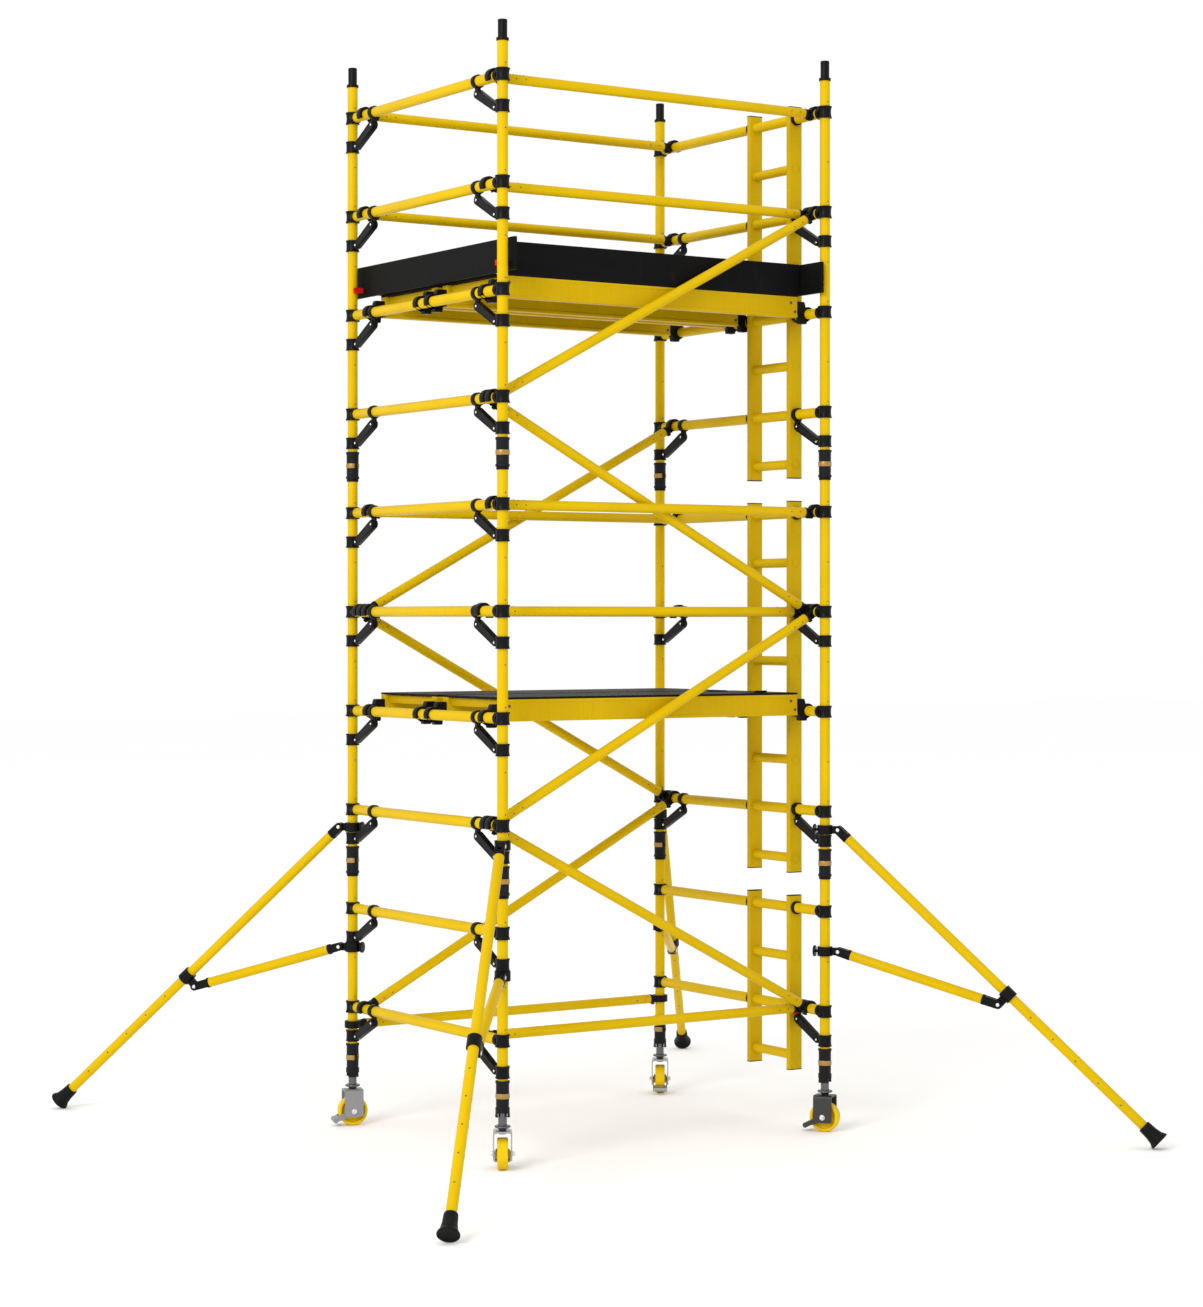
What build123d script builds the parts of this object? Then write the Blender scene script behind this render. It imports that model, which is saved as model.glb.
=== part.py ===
"""Mobile tower scaffold: end frames, braces, platforms, castors and stabilisers as separate pieces.

Frame: origin on the ground under the middle of the tower, +X along the platforms towards the ladder,
+Y across the end frames, +Z up.  Front is -Y, left is -X.  Sizes are in millimetres.
"""
from build123d import *
import math
import os

# ------------------------------------------------------------------ driving dimensions
length = 1890.0  # post axis to post axis along the platforms
width = 1465.0  # post axis to post axis across the end frames
first_rung = 605.0  # height of the lowest frame rung
rung_pitch = 500.0
frame_levels = {"base": (1, 2), "middle": (3, 6), "top": (7, 10)}  # first and last rung of each lift

post_outer = 51.0
post_wall = 3.0
rung_wall = 3.0
post_below_rung = 326.0  # post foot below the lift's first rung
post_above_rung = 160.0  # post top above the lift's last rung
rung_end_gap = 1.0  # rung end to post surface, inside its socket

seat = 0.15  # gap around a tube in a fitting that is fixed to it
swing = 0.4  # gap between pieces that move on each other
pin_fit = 0.05  # radial gap of a pin in its hole

stile_width = 75.0  # along X
stile_thick = 30.0  # along Y
stile_wall = 3.5
stile_outer_y = 257.0  # outer stile's centre from the front post's axis
stile_spacing = 339.0
stile_above_rung = 60.0
stile_below_rung = 320.0
ladder_rung_outer = 48.0

socket_waist = 63.0
socket_lip = 71.0
socket_height = 60.0
socket_stub_outer = 60.0
socket_reach = 46.0  # stub end from the post's axis

knee_drop = 147.0  # post collar's centre below its rung
knee_height = 58.0
knee_waist = 64.0
knee_lip = 69.0
knee_ring_reach = 226.0  # rung ring's centre from the post's axis
knee_ring_length = 30.0
knee_ring_outer = 66.0
knee_pin_out = 53.0  # lower rivet from the post's axis
knee_pin_up_out = 217.0  # upper rivet from the post's axis
knee_pin_up_drop = 61.0  # upper rivet below the rung's axis
link_width = 30.0
link_thick = 31.0
tongue_thick = 14.0
rivet_shank = 8.0
rivet_head = 13.0
rivet_head_rise = 2.5

sleeve_drop = 189.0  # sleeve's top below the lift's first rung
sleeve_waist = 62.0
sleeve_lip = 68.0
clip_drop = 260.0  # clip's centre below the lift's first rung
clip_height = 30.0
clip_outer = 67.0
clip_knob_reach = 45.0

spigot_flange = 60.0
spigot_flange_height = 13.5
spigot_rise = 86.0
spigot_insert = 110.0
spigot_gap = 0.3
spigot_chamfer = 4.0

brace_outer = 48.0
brace_wall = 2.5
brace_start = 72.0  # tube end from the axis of what its claw holds
claw_outer = 82.0
claw_width = 37.0
claw_plug = 60.0
claw_neck_start = 57.0
brace_slots = (80.0, 130.0, 180.0)  # claw centres from the post's axis
upright_brace_height = 512.0  # lowest back brace, clamped on the posts
trigger_size = (20.0, 12.0, 13.0)

deck_levels = (4, 8)
platform_set = -17.0  # both platforms stand a little to the front
platform_pitch = 618.0
beam_spacing = 510.0
beam_width = 50.0
beam_below = 21.0  # beam's underside below the rung's axis
beam_above = 84.0
beam_wall = 3.0
beam_end_gap = 76.0  # beam end from the post line
cross_member = 40.0
deck_thick = 9.0
hook_width = 36.0
hook_outer = 76.0
hook_grip = 50.0

hatch_length = 600.0
hatch_width = 405.0
hatch_end = 150.0  # hatch edge from the post line, at the ladder's end
trap_clear = 4.0
trap_pin_out = 7.0  # hinge axis outside the trapdoor's edge
trap_pin_rise = 6.0
trap_pin = 6.0
trap_knuckle = 40.0
trap_bracket = 12.0
trap_strap = 34.0

toe_height = 155.0
toe_thick = 18.0
toe_overhang = 45.0  # end board past the post's axis
toe_clip_inset = 38.0
toe_clip_height = 128.0  # clip above its rung

leg_outer = 42.0
leg_groove = 1.5
leg_groove_pitch = 12.0
leg_top = 610.0
leg_travel = 200.0
nut_top_gap = 0.4
nut_height = 32.0
nut_outer = 70.0
nut_window = 44.0
wing_height = 202.0
wing_outer = 76.0
wing_thick = 10.0
hub_outer = 46.0
swivel_height = 184.0  # top of the fork's plate
fork_width = 90.0  # across the axle
fork_length = 96.0  # along the rolling direction
fork_plate = 6.0
fork_top_plate = 8.0
fork_foot = 47.0
kingpin = 16.0
kingpin_head = 34.0
kingpin_head_height = 8.0
wheel_outer = 150.0
wheel_width = 50.0
wheel_hub = 46.0
wheel_hub_width = 66.0
wheel_web = 16.0
tread_depth = 17.0
axle = 14.0
axle_span = 116.0
pedal_reach = 92.0
pedal_drop = 44.0
pedal_arm = 5.0
pedal_bar = 26.0

stabiliser_heading = 51.0  # degrees from the X axis
stabiliser_angle = 47.2  # leg from the vertical
clamp_height = 46.0
clamp_outer = 76.0
clamp_pivot = 70.0
clamp_gap = 2.5  # between the clamp and the knee collar beside it
clamp_tongue = 16.0
clamp_eye = 21.0
knob_outer = 56.0
knob_reach = 58.0
knob_thick = 10.0
stay_outer = 49.0
stay_wall = 3.0
stay_end = 65.0  # tube end from the pivot
stay_fork_outer = 46.0
stay_pin = 12.0
foot_outer = 100.0
foot_top = 62.0
foot_length = 107.0
foot_insert = 45.0
slider_along = 1163.0  # collar's centre along the leg from its pivot
slider_length = 60.0
slider_outer = 67.0
slider_drop = 70.0  # strut pivot below the leg's axis

corners = {
    "front_left": (-1, -1, 59.0),
    "front_right": (1, -1, 124.5),
    "back_left": (-1, 1, 162.5),
    "back_right": (1, 1, 235.7),
}  # side along X, side along Y, castor heading in degrees

# horizontal braces: side along Y, rung level, slot
horizontals = [(-1, 10, 0), (-1, 9, 1), (-1, 6, 0), (-1, 5, 2), (-1, 1, 2),
               (1, 10, 1), (1, 9, 1), (1, 6, 2), (1, 5, 2)]
# diagonal braces: side along Y, level at the plain frame, level at the ladder frame, slot
diagonals = [(-1, 7, 9, 0), (-1, 7, 5, 1), (-1, 3, 5, 0), (-1, 3, 1, 1),
             (1, 5, 7, 1), (1, 5, 3, 0), (1, 1, 3, 1)]
# knee braces: side along X, side along Y, rung levels
knees = [(-1, -1, range(1, 11)), (-1, 1, range(1, 11)), (1, -1, (1, 3, 5, 7, 9)), (1, 1, (3, 5, 7, 9))]

# ------------------------------------------------------------------ values worked out from them
post_bore = post_outer - 2 * post_wall
fitting_bore = post_outer / 2 + seat
post_x = length / 2
post_y = width / 2
lift_foot = {lift: first_rung + rung_pitch * (levels[0] - 1) - post_below_rung
             for lift, levels in frame_levels.items()}
sleeve_height = post_below_rung - sleeve_drop
inner_stile_y = -post_y + stile_outer_y + stile_spacing
outer_stile_y = -post_y + stile_outer_y
wheel_axle_height = wheel_outer / 2
last_level = frame_levels["top"][1]


def level_height(level):
    """Height of a frame rung's axis."""
    return first_rung + rung_pitch * (level - 1)


def all_levels():
    """Every rung level of the tower."""
    return range(1, last_level + 1)


def save(piece, name):
    """Label a finished piece and write its STEP file."""
    piece.part.label = name
    export_step(piece.part, f"parts/{name}.step")


def collect(name, *groups):
    """One node from shapes and the places they stand: each group is (shape, list of Locations)."""
    with BuildPart() as node:
        for shape, places in groups:
            with Locations(*places):
                add(shape)
    save(node, name)


def facing(x, y, z, side):
    """A place whose local +Y points from the post at that side towards the tower's middle."""
    return Location((x, y, z), (0, 0, 0 if side < 0 else 180))


# ------------------------------------------------------------------ tubes and frames
def tube_shape(tube_length, outer, bore):
    """A round tube standing on the origin."""
    with BuildPart() as piece:
        with BuildSketch():
            Circle(outer / 2)
            Circle(bore / 2, mode=Mode.SUBTRACT)
        extrude(amount=tube_length)
    return piece.part


def along_y(x, y, z):
    """A place that lays a standing shape along +Y."""
    return Location((x, y, z), (-90, 0, 0))


def stile_shape(bottom, top, frame_levels_here, short_levels):
    """A hollow rectangular stile, closed at its ends and bored for every rung that crosses it."""
    with BuildPart() as piece:
        with BuildSketch(Plane.XY.offset(bottom)):
            Rectangle(stile_width, stile_thick)
        extrude(amount=top - bottom)
        with BuildSketch(Plane.XY.offset(bottom + stile_wall)):
            Rectangle(stile_width - 2 * stile_wall, stile_thick - 2 * stile_wall)
        extrude(amount=top - bottom - 2 * stile_wall, mode=Mode.SUBTRACT)
        for level in frame_levels_here:
            with Locations(along_y(0, -stile_thick, level_height(level))):
                Cylinder(fitting_bore, 2 * stile_thick, align=(Align.CENTER, Align.CENTER, Align.MIN),
                         mode=Mode.SUBTRACT)
        for height in short_levels:
            with Locations(along_y(0, -stile_thick, height)):
                Cylinder(ladder_rung_outer / 2 + seat, 2 * stile_thick,
                         align=(Align.CENTER, Align.CENTER, Align.MIN), mode=Mode.SUBTRACT)
    return piece.part


def end_frame(lift, side):
    """Posts, rungs and, on the ladder's side, stiles and short rungs of one lift."""
    first, last = frame_levels[lift]
    foot = lift_foot[lift]
    post_length = level_height(last) + post_above_rung - foot
    rung_length = width - post_outer - 2 * rung_end_gap
    post = tube_shape(post_length, post_outer, post_bore)
    rung = tube_shape(rung_length, post_outer, post_outer - 2 * rung_wall)
    x = side * post_x
    groups = [
        (post, [Location((x, -post_y, foot)), Location((x, post_y, foot))]),
        (rung, [along_y(x, -rung_length / 2, level_height(level)) for level in range(first, last + 1)]),
    ]
    if side > 0:
        bottom = level_height(first) - stile_below_rung
        top = level_height(last) + stile_above_rung
        heights = [level_height(level) - rung_pitch / 2 for level in range(first, last + 1)]
        stile = stile_shape(bottom, top, range(first, last + 1), heights)
        short = tube_shape(stile_spacing + stile_thick, ladder_rung_outer, ladder_rung_outer - 2 * rung_wall)
        groups.append((stile, [Location((x, outer_stile_y, 0)), Location((x, inner_stile_y, 0))]))
        groups.append((short, [along_y(x, outer_stile_y - stile_thick / 2, height) for height in heights]))
    return groups


# ------------------------------------------------------------------ moulded fittings of the frames
def spool_shape(bore_radius, waist, lip, height, lip_height=6.0):
    """A collar centred on the origin along Z, with a raised lip at each end."""
    half = height / 2
    with BuildPart() as piece:
        with BuildSketch(Plane.XZ):
            with BuildLine():
                Polyline(
                    (bore_radius, -half), (lip / 2, -half), (lip / 2, -half + lip_height),
                    (waist / 2, -half + lip_height + 3), (waist / 2, half - lip_height - 3),
                    (lip / 2, half - lip_height), (lip / 2, half), (bore_radius, half),
                    close=True,
                )
            make_face()
        revolve(axis=Axis.Z)
    return piece.part


def rung_socket_shape():
    """Collar on a post with a stub around the end of its rung, which runs along +Y."""
    with BuildPart() as piece:
        add(spool_shape(post_outer / 4, socket_waist, socket_lip, socket_height))
        with BuildSketch(Plane.XZ.offset(-socket_reach)):
            Circle(socket_stub_outer / 2)
        extrude(amount=socket_reach)
        Cylinder(fitting_bore, 2 * socket_height, mode=Mode.SUBTRACT)
        with BuildSketch(Plane.XZ.offset(-socket_reach)):
            Circle(fitting_bore)
        extrude(amount=socket_reach, mode=Mode.SUBTRACT)
    return piece.part


def knee_post_collar_shape():
    """Collar on a post with the tongue that holds the link's lower rivet; the rung runs along +Y."""
    with BuildPart() as piece:
        add(spool_shape(post_outer / 4, knee_waist, knee_lip, knee_height))
        with BuildSketch(Plane.YZ):
            with Locations((knee_pin_out / 2, 0)):
                Rectangle(knee_pin_out, link_width + 2)
            with Locations((knee_pin_out, 0)):
                Circle(link_width / 2 + 1)
        extrude(amount=tongue_thick / 2, both=True)
        Cylinder(fitting_bore, 2 * knee_height, mode=Mode.SUBTRACT)
        with BuildSketch(Plane.YZ):
            with Locations((knee_pin_out, 0)):
                Circle(rivet_shank / 2 + seat)
        extrude(amount=tongue_thick, both=True, mode=Mode.SUBTRACT)
    return piece.part


def knee_ring_shape():
    """Ring on a rung with the tongue that holds the link's upper rivet; origin on the rung over the post."""
    reach = knee_ring_reach
    half = knee_ring_length / 2
    ring_r = knee_ring_outer / 2
    with BuildPart() as piece:
        with BuildSketch(Plane.XZ.offset(-reach)):
            Circle(ring_r)
        extrude(amount=half, both=True)
        with BuildSketch(Plane.YZ):
            with BuildLine():
                Polyline(
                    (reach - half, 0), (reach - half, -ring_r - 4), (knee_pin_up_out - half, -knee_pin_up_drop),
                    (knee_pin_up_out, -knee_pin_up_drop - half), (reach + half - 8, -knee_pin_up_drop - 8),
                    (reach + half, -knee_pin_up_drop + 4), (reach + half, 0),
                    close=True,
                )
            make_face()
        extrude(amount=tongue_thick / 2, both=True)
        with BuildSketch(Plane.XZ.offset(-reach)):
            Circle(fitting_bore)
        extrude(amount=knee_ring_length, both=True, mode=Mode.SUBTRACT)
        with BuildSketch(Plane.YZ):
            with Locations((knee_pin_up_out, -knee_pin_up_drop)):
                Circle(rivet_shank / 2 + seat)
        extrude(amount=tongue_thick, both=True, mode=Mode.SUBTRACT)
    return piece.part


def knee_link_shape():
    """Forked bar between the two rivets, in the plane of the rung and its post."""
    low = (knee_pin_out, -knee_drop)
    high = (knee_pin_up_out, -knee_pin_up_drop)
    span = math.dist(low, high)
    tilt = math.degrees(math.atan2(high[1] - low[1], high[0] - low[0]))
    middle = ((low[0] + high[0]) / 2, (low[1] + high[1]) / 2)
    with BuildPart() as piece:
        with BuildSketch(Plane.YZ):
            with Locations(Location((middle[0], middle[1], 0), (0, 0, tilt))):
                SlotCenterToCenter(span, link_width)
        extrude(amount=link_thick / 2, both=True)
        with BuildSketch(Plane.YZ):
            with Locations(low, high):
                Circle(link_width / 2 + 4)
        extrude(amount=tongue_thick / 2 + seat, both=True, mode=Mode.SUBTRACT)
        with BuildSketch(Plane.YZ):
            with Locations(low, high):
                Circle(rivet_shank / 2 + seat)
        extrude(amount=link_thick, both=True, mode=Mode.SUBTRACT)
    return piece.part


def rivet_shape():
    """Rivet along X with a head on each outer face of the link."""
    half = link_thick / 2 + seat
    with BuildPart() as piece:
        with BuildSketch(Plane.YZ):
            Circle(rivet_shank / 2)
        extrude(amount=half + 0.5, both=True)
        with BuildSketch(Plane.YZ.offset(half), Plane.YZ.offset(-half - rivet_head_rise)):
            Circle(rivet_head / 2)
        extrude(amount=rivet_head_rise)
    return piece.part


def joint_sleeve_shape():
    """Sleeve over a post's foot, centred on the origin."""
    return spool_shape(fitting_bore, sleeve_waist, sleeve_lip, sleeve_height)


def interlock_clip_shape():
    """Sprung clip round the sleeve, narrow on the rung's side (+Y), where its knob stands out."""
    with BuildPart() as piece:
        with BuildSketch():
            Circle(clip_outer / 2)
        extrude(amount=clip_height / 2, both=True)
        with BuildSketch(Plane.XZ.offset(-clip_outer)):
            Rectangle(clip_outer * 0.55, clip_height)
            Rectangle(clip_outer, clip_height * 0.5, mode=Mode.SUBTRACT)
        extrude(amount=clip_outer, mode=Mode.SUBTRACT)
        with BuildSketch(Plane.XZ.offset(-clip_knob_reach)):
            Rectangle(16, clip_height * 0.8)
        extrude(amount=clip_knob_reach - sleeve_waist / 2)
        Cylinder(sleeve_waist / 2 + seat, clip_height, mode=Mode.SUBTRACT)
    return piece.part


def spigot_shape():
    """Spigot with its flange on a post's top, which is at the origin."""
    radius = post_bore / 2 - spigot_gap
    top = spigot_flange_height + spigot_rise
    flange_r = spigot_flange / 2
    with BuildPart() as piece:
        with BuildSketch(Plane.XZ):
            with BuildLine():
                Polyline(
                    (0, -spigot_insert), (radius, -spigot_insert), (radius, 0), (flange_r, 0),
                    (flange_r, spigot_flange_height), (radius, spigot_flange_height),
                    (radius, top - spigot_chamfer), (radius - spigot_chamfer, top), (0, top),
                    close=True,
                )
            make_face()
        revolve(axis=Axis.Z)
    return piece.part


os.makedirs("parts", exist_ok=True)

for lift in frame_levels:
    collect(f"{lift}_plain_frame", *end_frame(lift, -1))
    collect(f"{lift}_ladder_frame", *end_frame(lift, 1))


def post_places(height, sides=((-1, -1), (-1, 1), (1, -1), (1, 1))):
    """Places on the posts at one height, local +Y towards the tower's middle."""
    return [facing(sx * post_x, sy * post_y, height, sy) for sx, sy in sides]


socket_places = [place for level in all_levels() for place in post_places(level_height(level))]
stile_ring_places = []
for level in all_levels():
    if level not in knees[2][2]:
        stile_ring_places.append(along_y(post_x, outer_stile_y - stile_thick / 2 - 20, level_height(level)))
    stile_ring_places.append(along_y(post_x, inner_stile_y + stile_thick / 2 + seat, level_height(level)))
stile_ring = tube_shape(20 - seat, knee_ring_outer, 2 * fitting_bore)
collect("rung_sockets", (rung_socket_shape(), socket_places), (stile_ring, stile_ring_places))

knee_places = [facing(sx * post_x, sy * post_y, level_height(level), sy)
               for sx, sy, levels in knees for level in levels]
knee_collar_places = [place * Location((0, 0, -knee_drop)) for place in knee_places]
collect("knee_collars", (knee_post_collar_shape(), knee_collar_places), (knee_ring_shape(), knee_places))
collect("knee_links", (knee_link_shape(), knee_places))
rivet_places = [place * Location((0, knee_pin_out, -knee_drop)) for place in knee_places]
rivet_places += [place * Location((0, knee_pin_up_out, -knee_pin_up_drop)) for place in knee_places]
collect("frame_rivets", (rivet_shape(), rivet_places))

spigot_places = [place for levels in frame_levels.values()
                 for place in post_places(level_height(levels[1]) + post_above_rung)]
collect("spigots", (spigot_shape(), spigot_places))
sleeve_places = [place for foot in lift_foot.values() for place in post_places(foot + sleeve_height / 2)]
collect("joint_sleeves", (joint_sleeve_shape(), sleeve_places))
clip_places = [place for foot in lift_foot.values()
               for place in post_places(foot + post_below_rung - clip_drop)]
collect("interlock_clips", (interlock_clip_shape(), clip_places))


# ------------------------------------------------------------------ braces
def claw_shape(rise):
    """Claw over a rung along Y; its neck and plug run towards +X and up by rise degrees."""
    neck = Vector(math.cos(math.radians(rise)), 0, math.sin(math.radians(rise)))
    mouth = fitting_bore + 0.4
    with BuildPart() as piece:
        with BuildSketch(Plane.XZ):
            Circle(claw_outer / 2)
            with Locations(Location((0, 0, 0), (0, 0, rise))):
                with Locations((claw_neck_start / 2 + 3, 0)):
                    Rectangle(claw_neck_start, claw_width)
        extrude(amount=claw_width / 2, both=True)
        with BuildSketch(Plane(origin=neck * claw_neck_start, z_dir=neck)):
            Circle(brace_outer / 2)
        extrude(amount=brace_start - claw_neck_start)
        with BuildSketch(Plane(origin=neck * brace_start, z_dir=neck)):
            Circle(brace_outer / 2 - brace_wall - seat)
        extrude(amount=claw_plug)
        with BuildSketch(Plane.XZ):
            Circle(mouth)
            with Locations((0, -claw_outer / 2)):
                Rectangle(2 * mouth, claw_outer)
            with Locations((-claw_outer / 2, -claw_outer / 2 - 16)):
                Rectangle(claw_outer, claw_outer)
        extrude(amount=claw_width, both=True, mode=Mode.SUBTRACT)
    return piece.part


def post_claw_shape():
    """Clamp round a post along Z; its neck and plug run towards +X."""
    with BuildPart() as piece:
        Cylinder(claw_outer / 2, claw_width)
        with BuildSketch(Plane.YZ):
            Rectangle(claw_width, claw_width)
        extrude(amount=claw_neck_start + 3)
        with BuildSketch(Plane.YZ.offset(claw_neck_start)):
            Circle(brace_outer / 2)
        extrude(amount=brace_start - claw_neck_start)
        with BuildSketch(Plane.YZ.offset(brace_start)):
            Circle(brace_outer / 2 - brace_wall - seat)
        extrude(amount=claw_plug)
        Cylinder(fitting_bore, claw_width, mode=Mode.SUBTRACT)
    return piece.part


def trigger_shape(rise):
    """Release trigger under the neck of a claw whose brace rises by that many degrees."""
    along, across, deep = trigger_size
    with BuildPart() as piece:
        with BuildSketch(Plane.XZ):
            with Locations(Location((0, 0, 0), (0, 0, rise))):
                with Locations((claw_neck_start - along / 2, -claw_width / 2 - seat - deep / 2)):
                    RectangleRounded(along, deep, deep * 0.35)
        extrude(amount=across / 2, both=True)
    return piece.part


def claw_place(side_x, y, z):
    """A claw's place on the end rung at that side, its brace running into the tower."""
    return Location((side_x * post_x, y, z), (0, 0, 0 if side_x < 0 else 180))


def brace_y(side_y, slot):
    """The Y of a brace hung in that slot of its side."""
    return side_y * (post_y - brace_slots[slot])


brace_tube_y = [(brace_y(side, slot), level_height(level)) for side, level, slot in horizontals]
flat_tube = tube_shape(length - 2 * brace_start, brace_outer, brace_outer - 2 * brace_wall)
flat_places = [Location((-post_x + brace_start, y, z), (0, 90, 0)) for y, z in brace_tube_y]
flat_places.append(Location((-post_x + brace_start, post_y, upright_brace_height), (0, 90, 0)))
collect("horizontal_braces", (flat_tube, flat_places))

claw_groups = [(claw_shape(0), [claw_place(side, y, z) for y, z in brace_tube_y for side in (-1, 1)])]
trigger_groups = [(trigger_shape(0), list(claw_groups[0][1]))]
post_claw_places = [claw_place(side, post_y, upright_brace_height) for side in (-1, 1)]
claw_groups.append((post_claw_shape(), post_claw_places))
trigger_groups[0][1].extend(post_claw_places)
slant_groups = []
for side, low_level, high_level, slot in diagonals:
    climb = level_height(high_level) - level_height(low_level)
    rise = math.degrees(math.atan2(climb, length))
    y = brace_y(side, slot)
    tube_length = math.hypot(length, climb) - 2 * brace_start
    slant = tube_shape(tube_length, brace_outer, brace_outer - 2 * brace_wall)
    direction = Vector(length, 0, climb).normalized()
    start = Vector(-post_x, y, level_height(low_level)) + direction * brace_start
    slant_groups.append((slant, [Location(Plane(origin=start, z_dir=direction))]))
    left = claw_place(-1, y, level_height(low_level))
    right = claw_place(1, y, level_height(high_level))
    claw_groups += [(claw_shape(rise), [left]), (claw_shape(-rise), [right])]
    trigger_groups += [(trigger_shape(rise), [left]), (trigger_shape(-rise), [right])]
collect("diagonal_braces", *slant_groups)
collect("brace_claws", *claw_groups)
collect("claw_triggers", *trigger_groups)


# ------------------------------------------------------------------ platforms
beam_length = length - 2 * beam_end_gap
beam_height = beam_below + beam_above
beam_middle = (beam_above - beam_below) / 2
platform_middles = [platform_set - platform_pitch / 2, platform_set + platform_pitch / 2]
inside_width = beam_spacing - beam_width
front_middle = platform_middles[0]
hatch_x = post_x - hatch_end - hatch_length / 2
hatch_y = front_middle


def beam_shape():
    """Hollow side beam along X, centred on the origin."""
    with BuildPart() as piece:
        with BuildSketch(Plane.YZ.offset(-beam_length / 2)):
            RectangleRounded(beam_width, beam_height, 4)
            Rectangle(beam_width - 2 * beam_wall, beam_height - 2 * beam_wall, mode=Mode.SUBTRACT)
        extrude(amount=beam_length)
    return piece.part


def cross_shape():
    """Cross member along Y between two side beams, centred on the origin."""
    with BuildPart() as piece:
        Box(cross_member, inside_width - 2 * seat, cross_member)
    return piece.part


def hook_shape():
    """Platform hook over an end rung along Y, with its windlock lip; the beam is towards +X."""
    mouth = fitting_bore + 0.4
    with BuildPart() as piece:
        with BuildSketch(Plane.XZ):
            Circle(hook_outer / 2)
            with Locations((beam_end_gap / 2 + 8, (beam_above - 34) / 2)):
                Rectangle(beam_end_gap - 16, beam_above - 10)
            with Locations((30, -hook_outer / 2)):
                Rectangle(44, 22)
        extrude(amount=hook_width / 2, both=True)
        with BuildSketch(Plane.YZ.offset(beam_end_gap - 4)):
            with Locations((0, beam_middle)):
                Rectangle(beam_width - 2 * beam_wall - 2 * seat, beam_height - 2 * beam_wall - 2 * seat)
        extrude(amount=hook_grip)
        with BuildSketch(Plane.XZ):
            Circle(mouth)
            with Locations((-8, -hook_outer / 2)):
                Rectangle(2 * mouth - 16, hook_outer)
            with Locations((-hook_outer / 2, -hook_outer / 2 - 12)):
                Rectangle(hook_outer, hook_outer)
        extrude(amount=hook_width, both=True, mode=Mode.SUBTRACT)
    return piece.part


def deck_shape(hatched):
    """Deck boards lying on the side beams, underside at the origin's height, with or without a hatch."""
    deck_width = beam_spacing + beam_width
    spans = [(-beam_length / 2, beam_length / 2, 0, deck_width)]
    if hatched:
        near = hatch_x - hatch_length / 2
        far = hatch_x + hatch_length / 2
        strip = (deck_width - hatch_width) / 2
        strip_y = (hatch_width + strip) / 2
        spans = [(-beam_length / 2, near, 0, deck_width), (far, beam_length / 2, 0, deck_width),
                 (near + seat, far - seat, -strip_y, strip), (near + seat, far - seat, strip_y, strip)]
    with BuildPart() as piece:
        for start, end, y, board_width in spans:
            with Locations(((start + end) / 2, y, deck_thick / 2)):
                Box(end - start, board_width, deck_thick)
    return piece.part


def trapdoor_shape():
    """Trapdoor panel with its hinge knuckles and pin along its outer edge; origin at the hinge axis."""
    panel_width = hatch_width - 2 * trap_clear
    with BuildPart() as piece:
        with Locations((0, trap_pin_out + panel_width / 2, -trap_pin_rise - deck_thick / 2)):
            Box(hatch_length - 2 * trap_clear, panel_width, deck_thick)
        for x in (-hatch_length / 3, hatch_length / 3):
            with BuildSketch(Plane.YZ.offset(x)):
                Circle(trap_pin / 2 + 2)
                with Locations((trap_strap / 2, 0.2 - trap_pin_rise / 2)):
                    Rectangle(trap_strap, trap_pin_rise - 0.8)
                with Locations(((trap_strap + trap_pin_out) / 2, -trap_pin_rise / 2)):
                    Rectangle(trap_strap - trap_pin_out, trap_pin_rise)
            extrude(amount=trap_knuckle / 2, both=True)
            with BuildSketch(Plane.YZ.offset(x)):
                Circle(trap_pin / 2)
            extrude(amount=trap_knuckle / 2 + trap_bracket, both=True)
        with Locations((hatch_length / 3 - 40, panel_width * 0.8, -trap_pin_rise + 2)):
            Box(110, 26, 6)
    return piece.part


def trap_bracket_shape():
    """Deck bracket beside a trapdoor knuckle, holding the hinge pin clear of the deck."""
    low = seat - trap_pin_rise
    high = trap_pin / 2 + 2
    with BuildPart() as piece:
        with BuildSketch(Plane.YZ):
            with Locations((0, (low + high) / 2)):
                Rectangle(12, high - low)
            Circle(trap_pin / 2 + pin_fit, mode=Mode.SUBTRACT)
        extrude(amount=trap_bracket / 2, both=True)
    return piece.part


beam_places = []
cross_places = []
hook_places = []
deck_places = []
hatch_deck_places = []
cross_drop = beam_above - cross_member / 2 - 2
for level in deck_levels:
    z = level_height(level)
    for middle in platform_middles:
        for side in (-1, 1):
            y = middle + side * beam_spacing / 2
            beam_places.append(Location((0, y, z + beam_middle)))
            hook_places.append(claw_place(-1, y, z))
            hook_places.append(claw_place(1, y, z))
        x_crosses = [-beam_length / 2 + cross_member, -beam_length / 6, beam_length / 2 - cross_member]
        if middle > front_middle:
            x_crosses.append(beam_length / 6)
        cross_places += [Location((x, middle, z + cross_drop)) for x in x_crosses]
        deck = Location((0, middle, z + beam_above + seat))
        if middle > front_middle:
            deck_places.append(deck)
        else:
            hatch_deck_places.append(deck)

collect("platform_beams", (beam_shape(), beam_places), (cross_shape(), cross_places))
collect("platform_hooks", (hook_shape(), hook_places))

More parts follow.
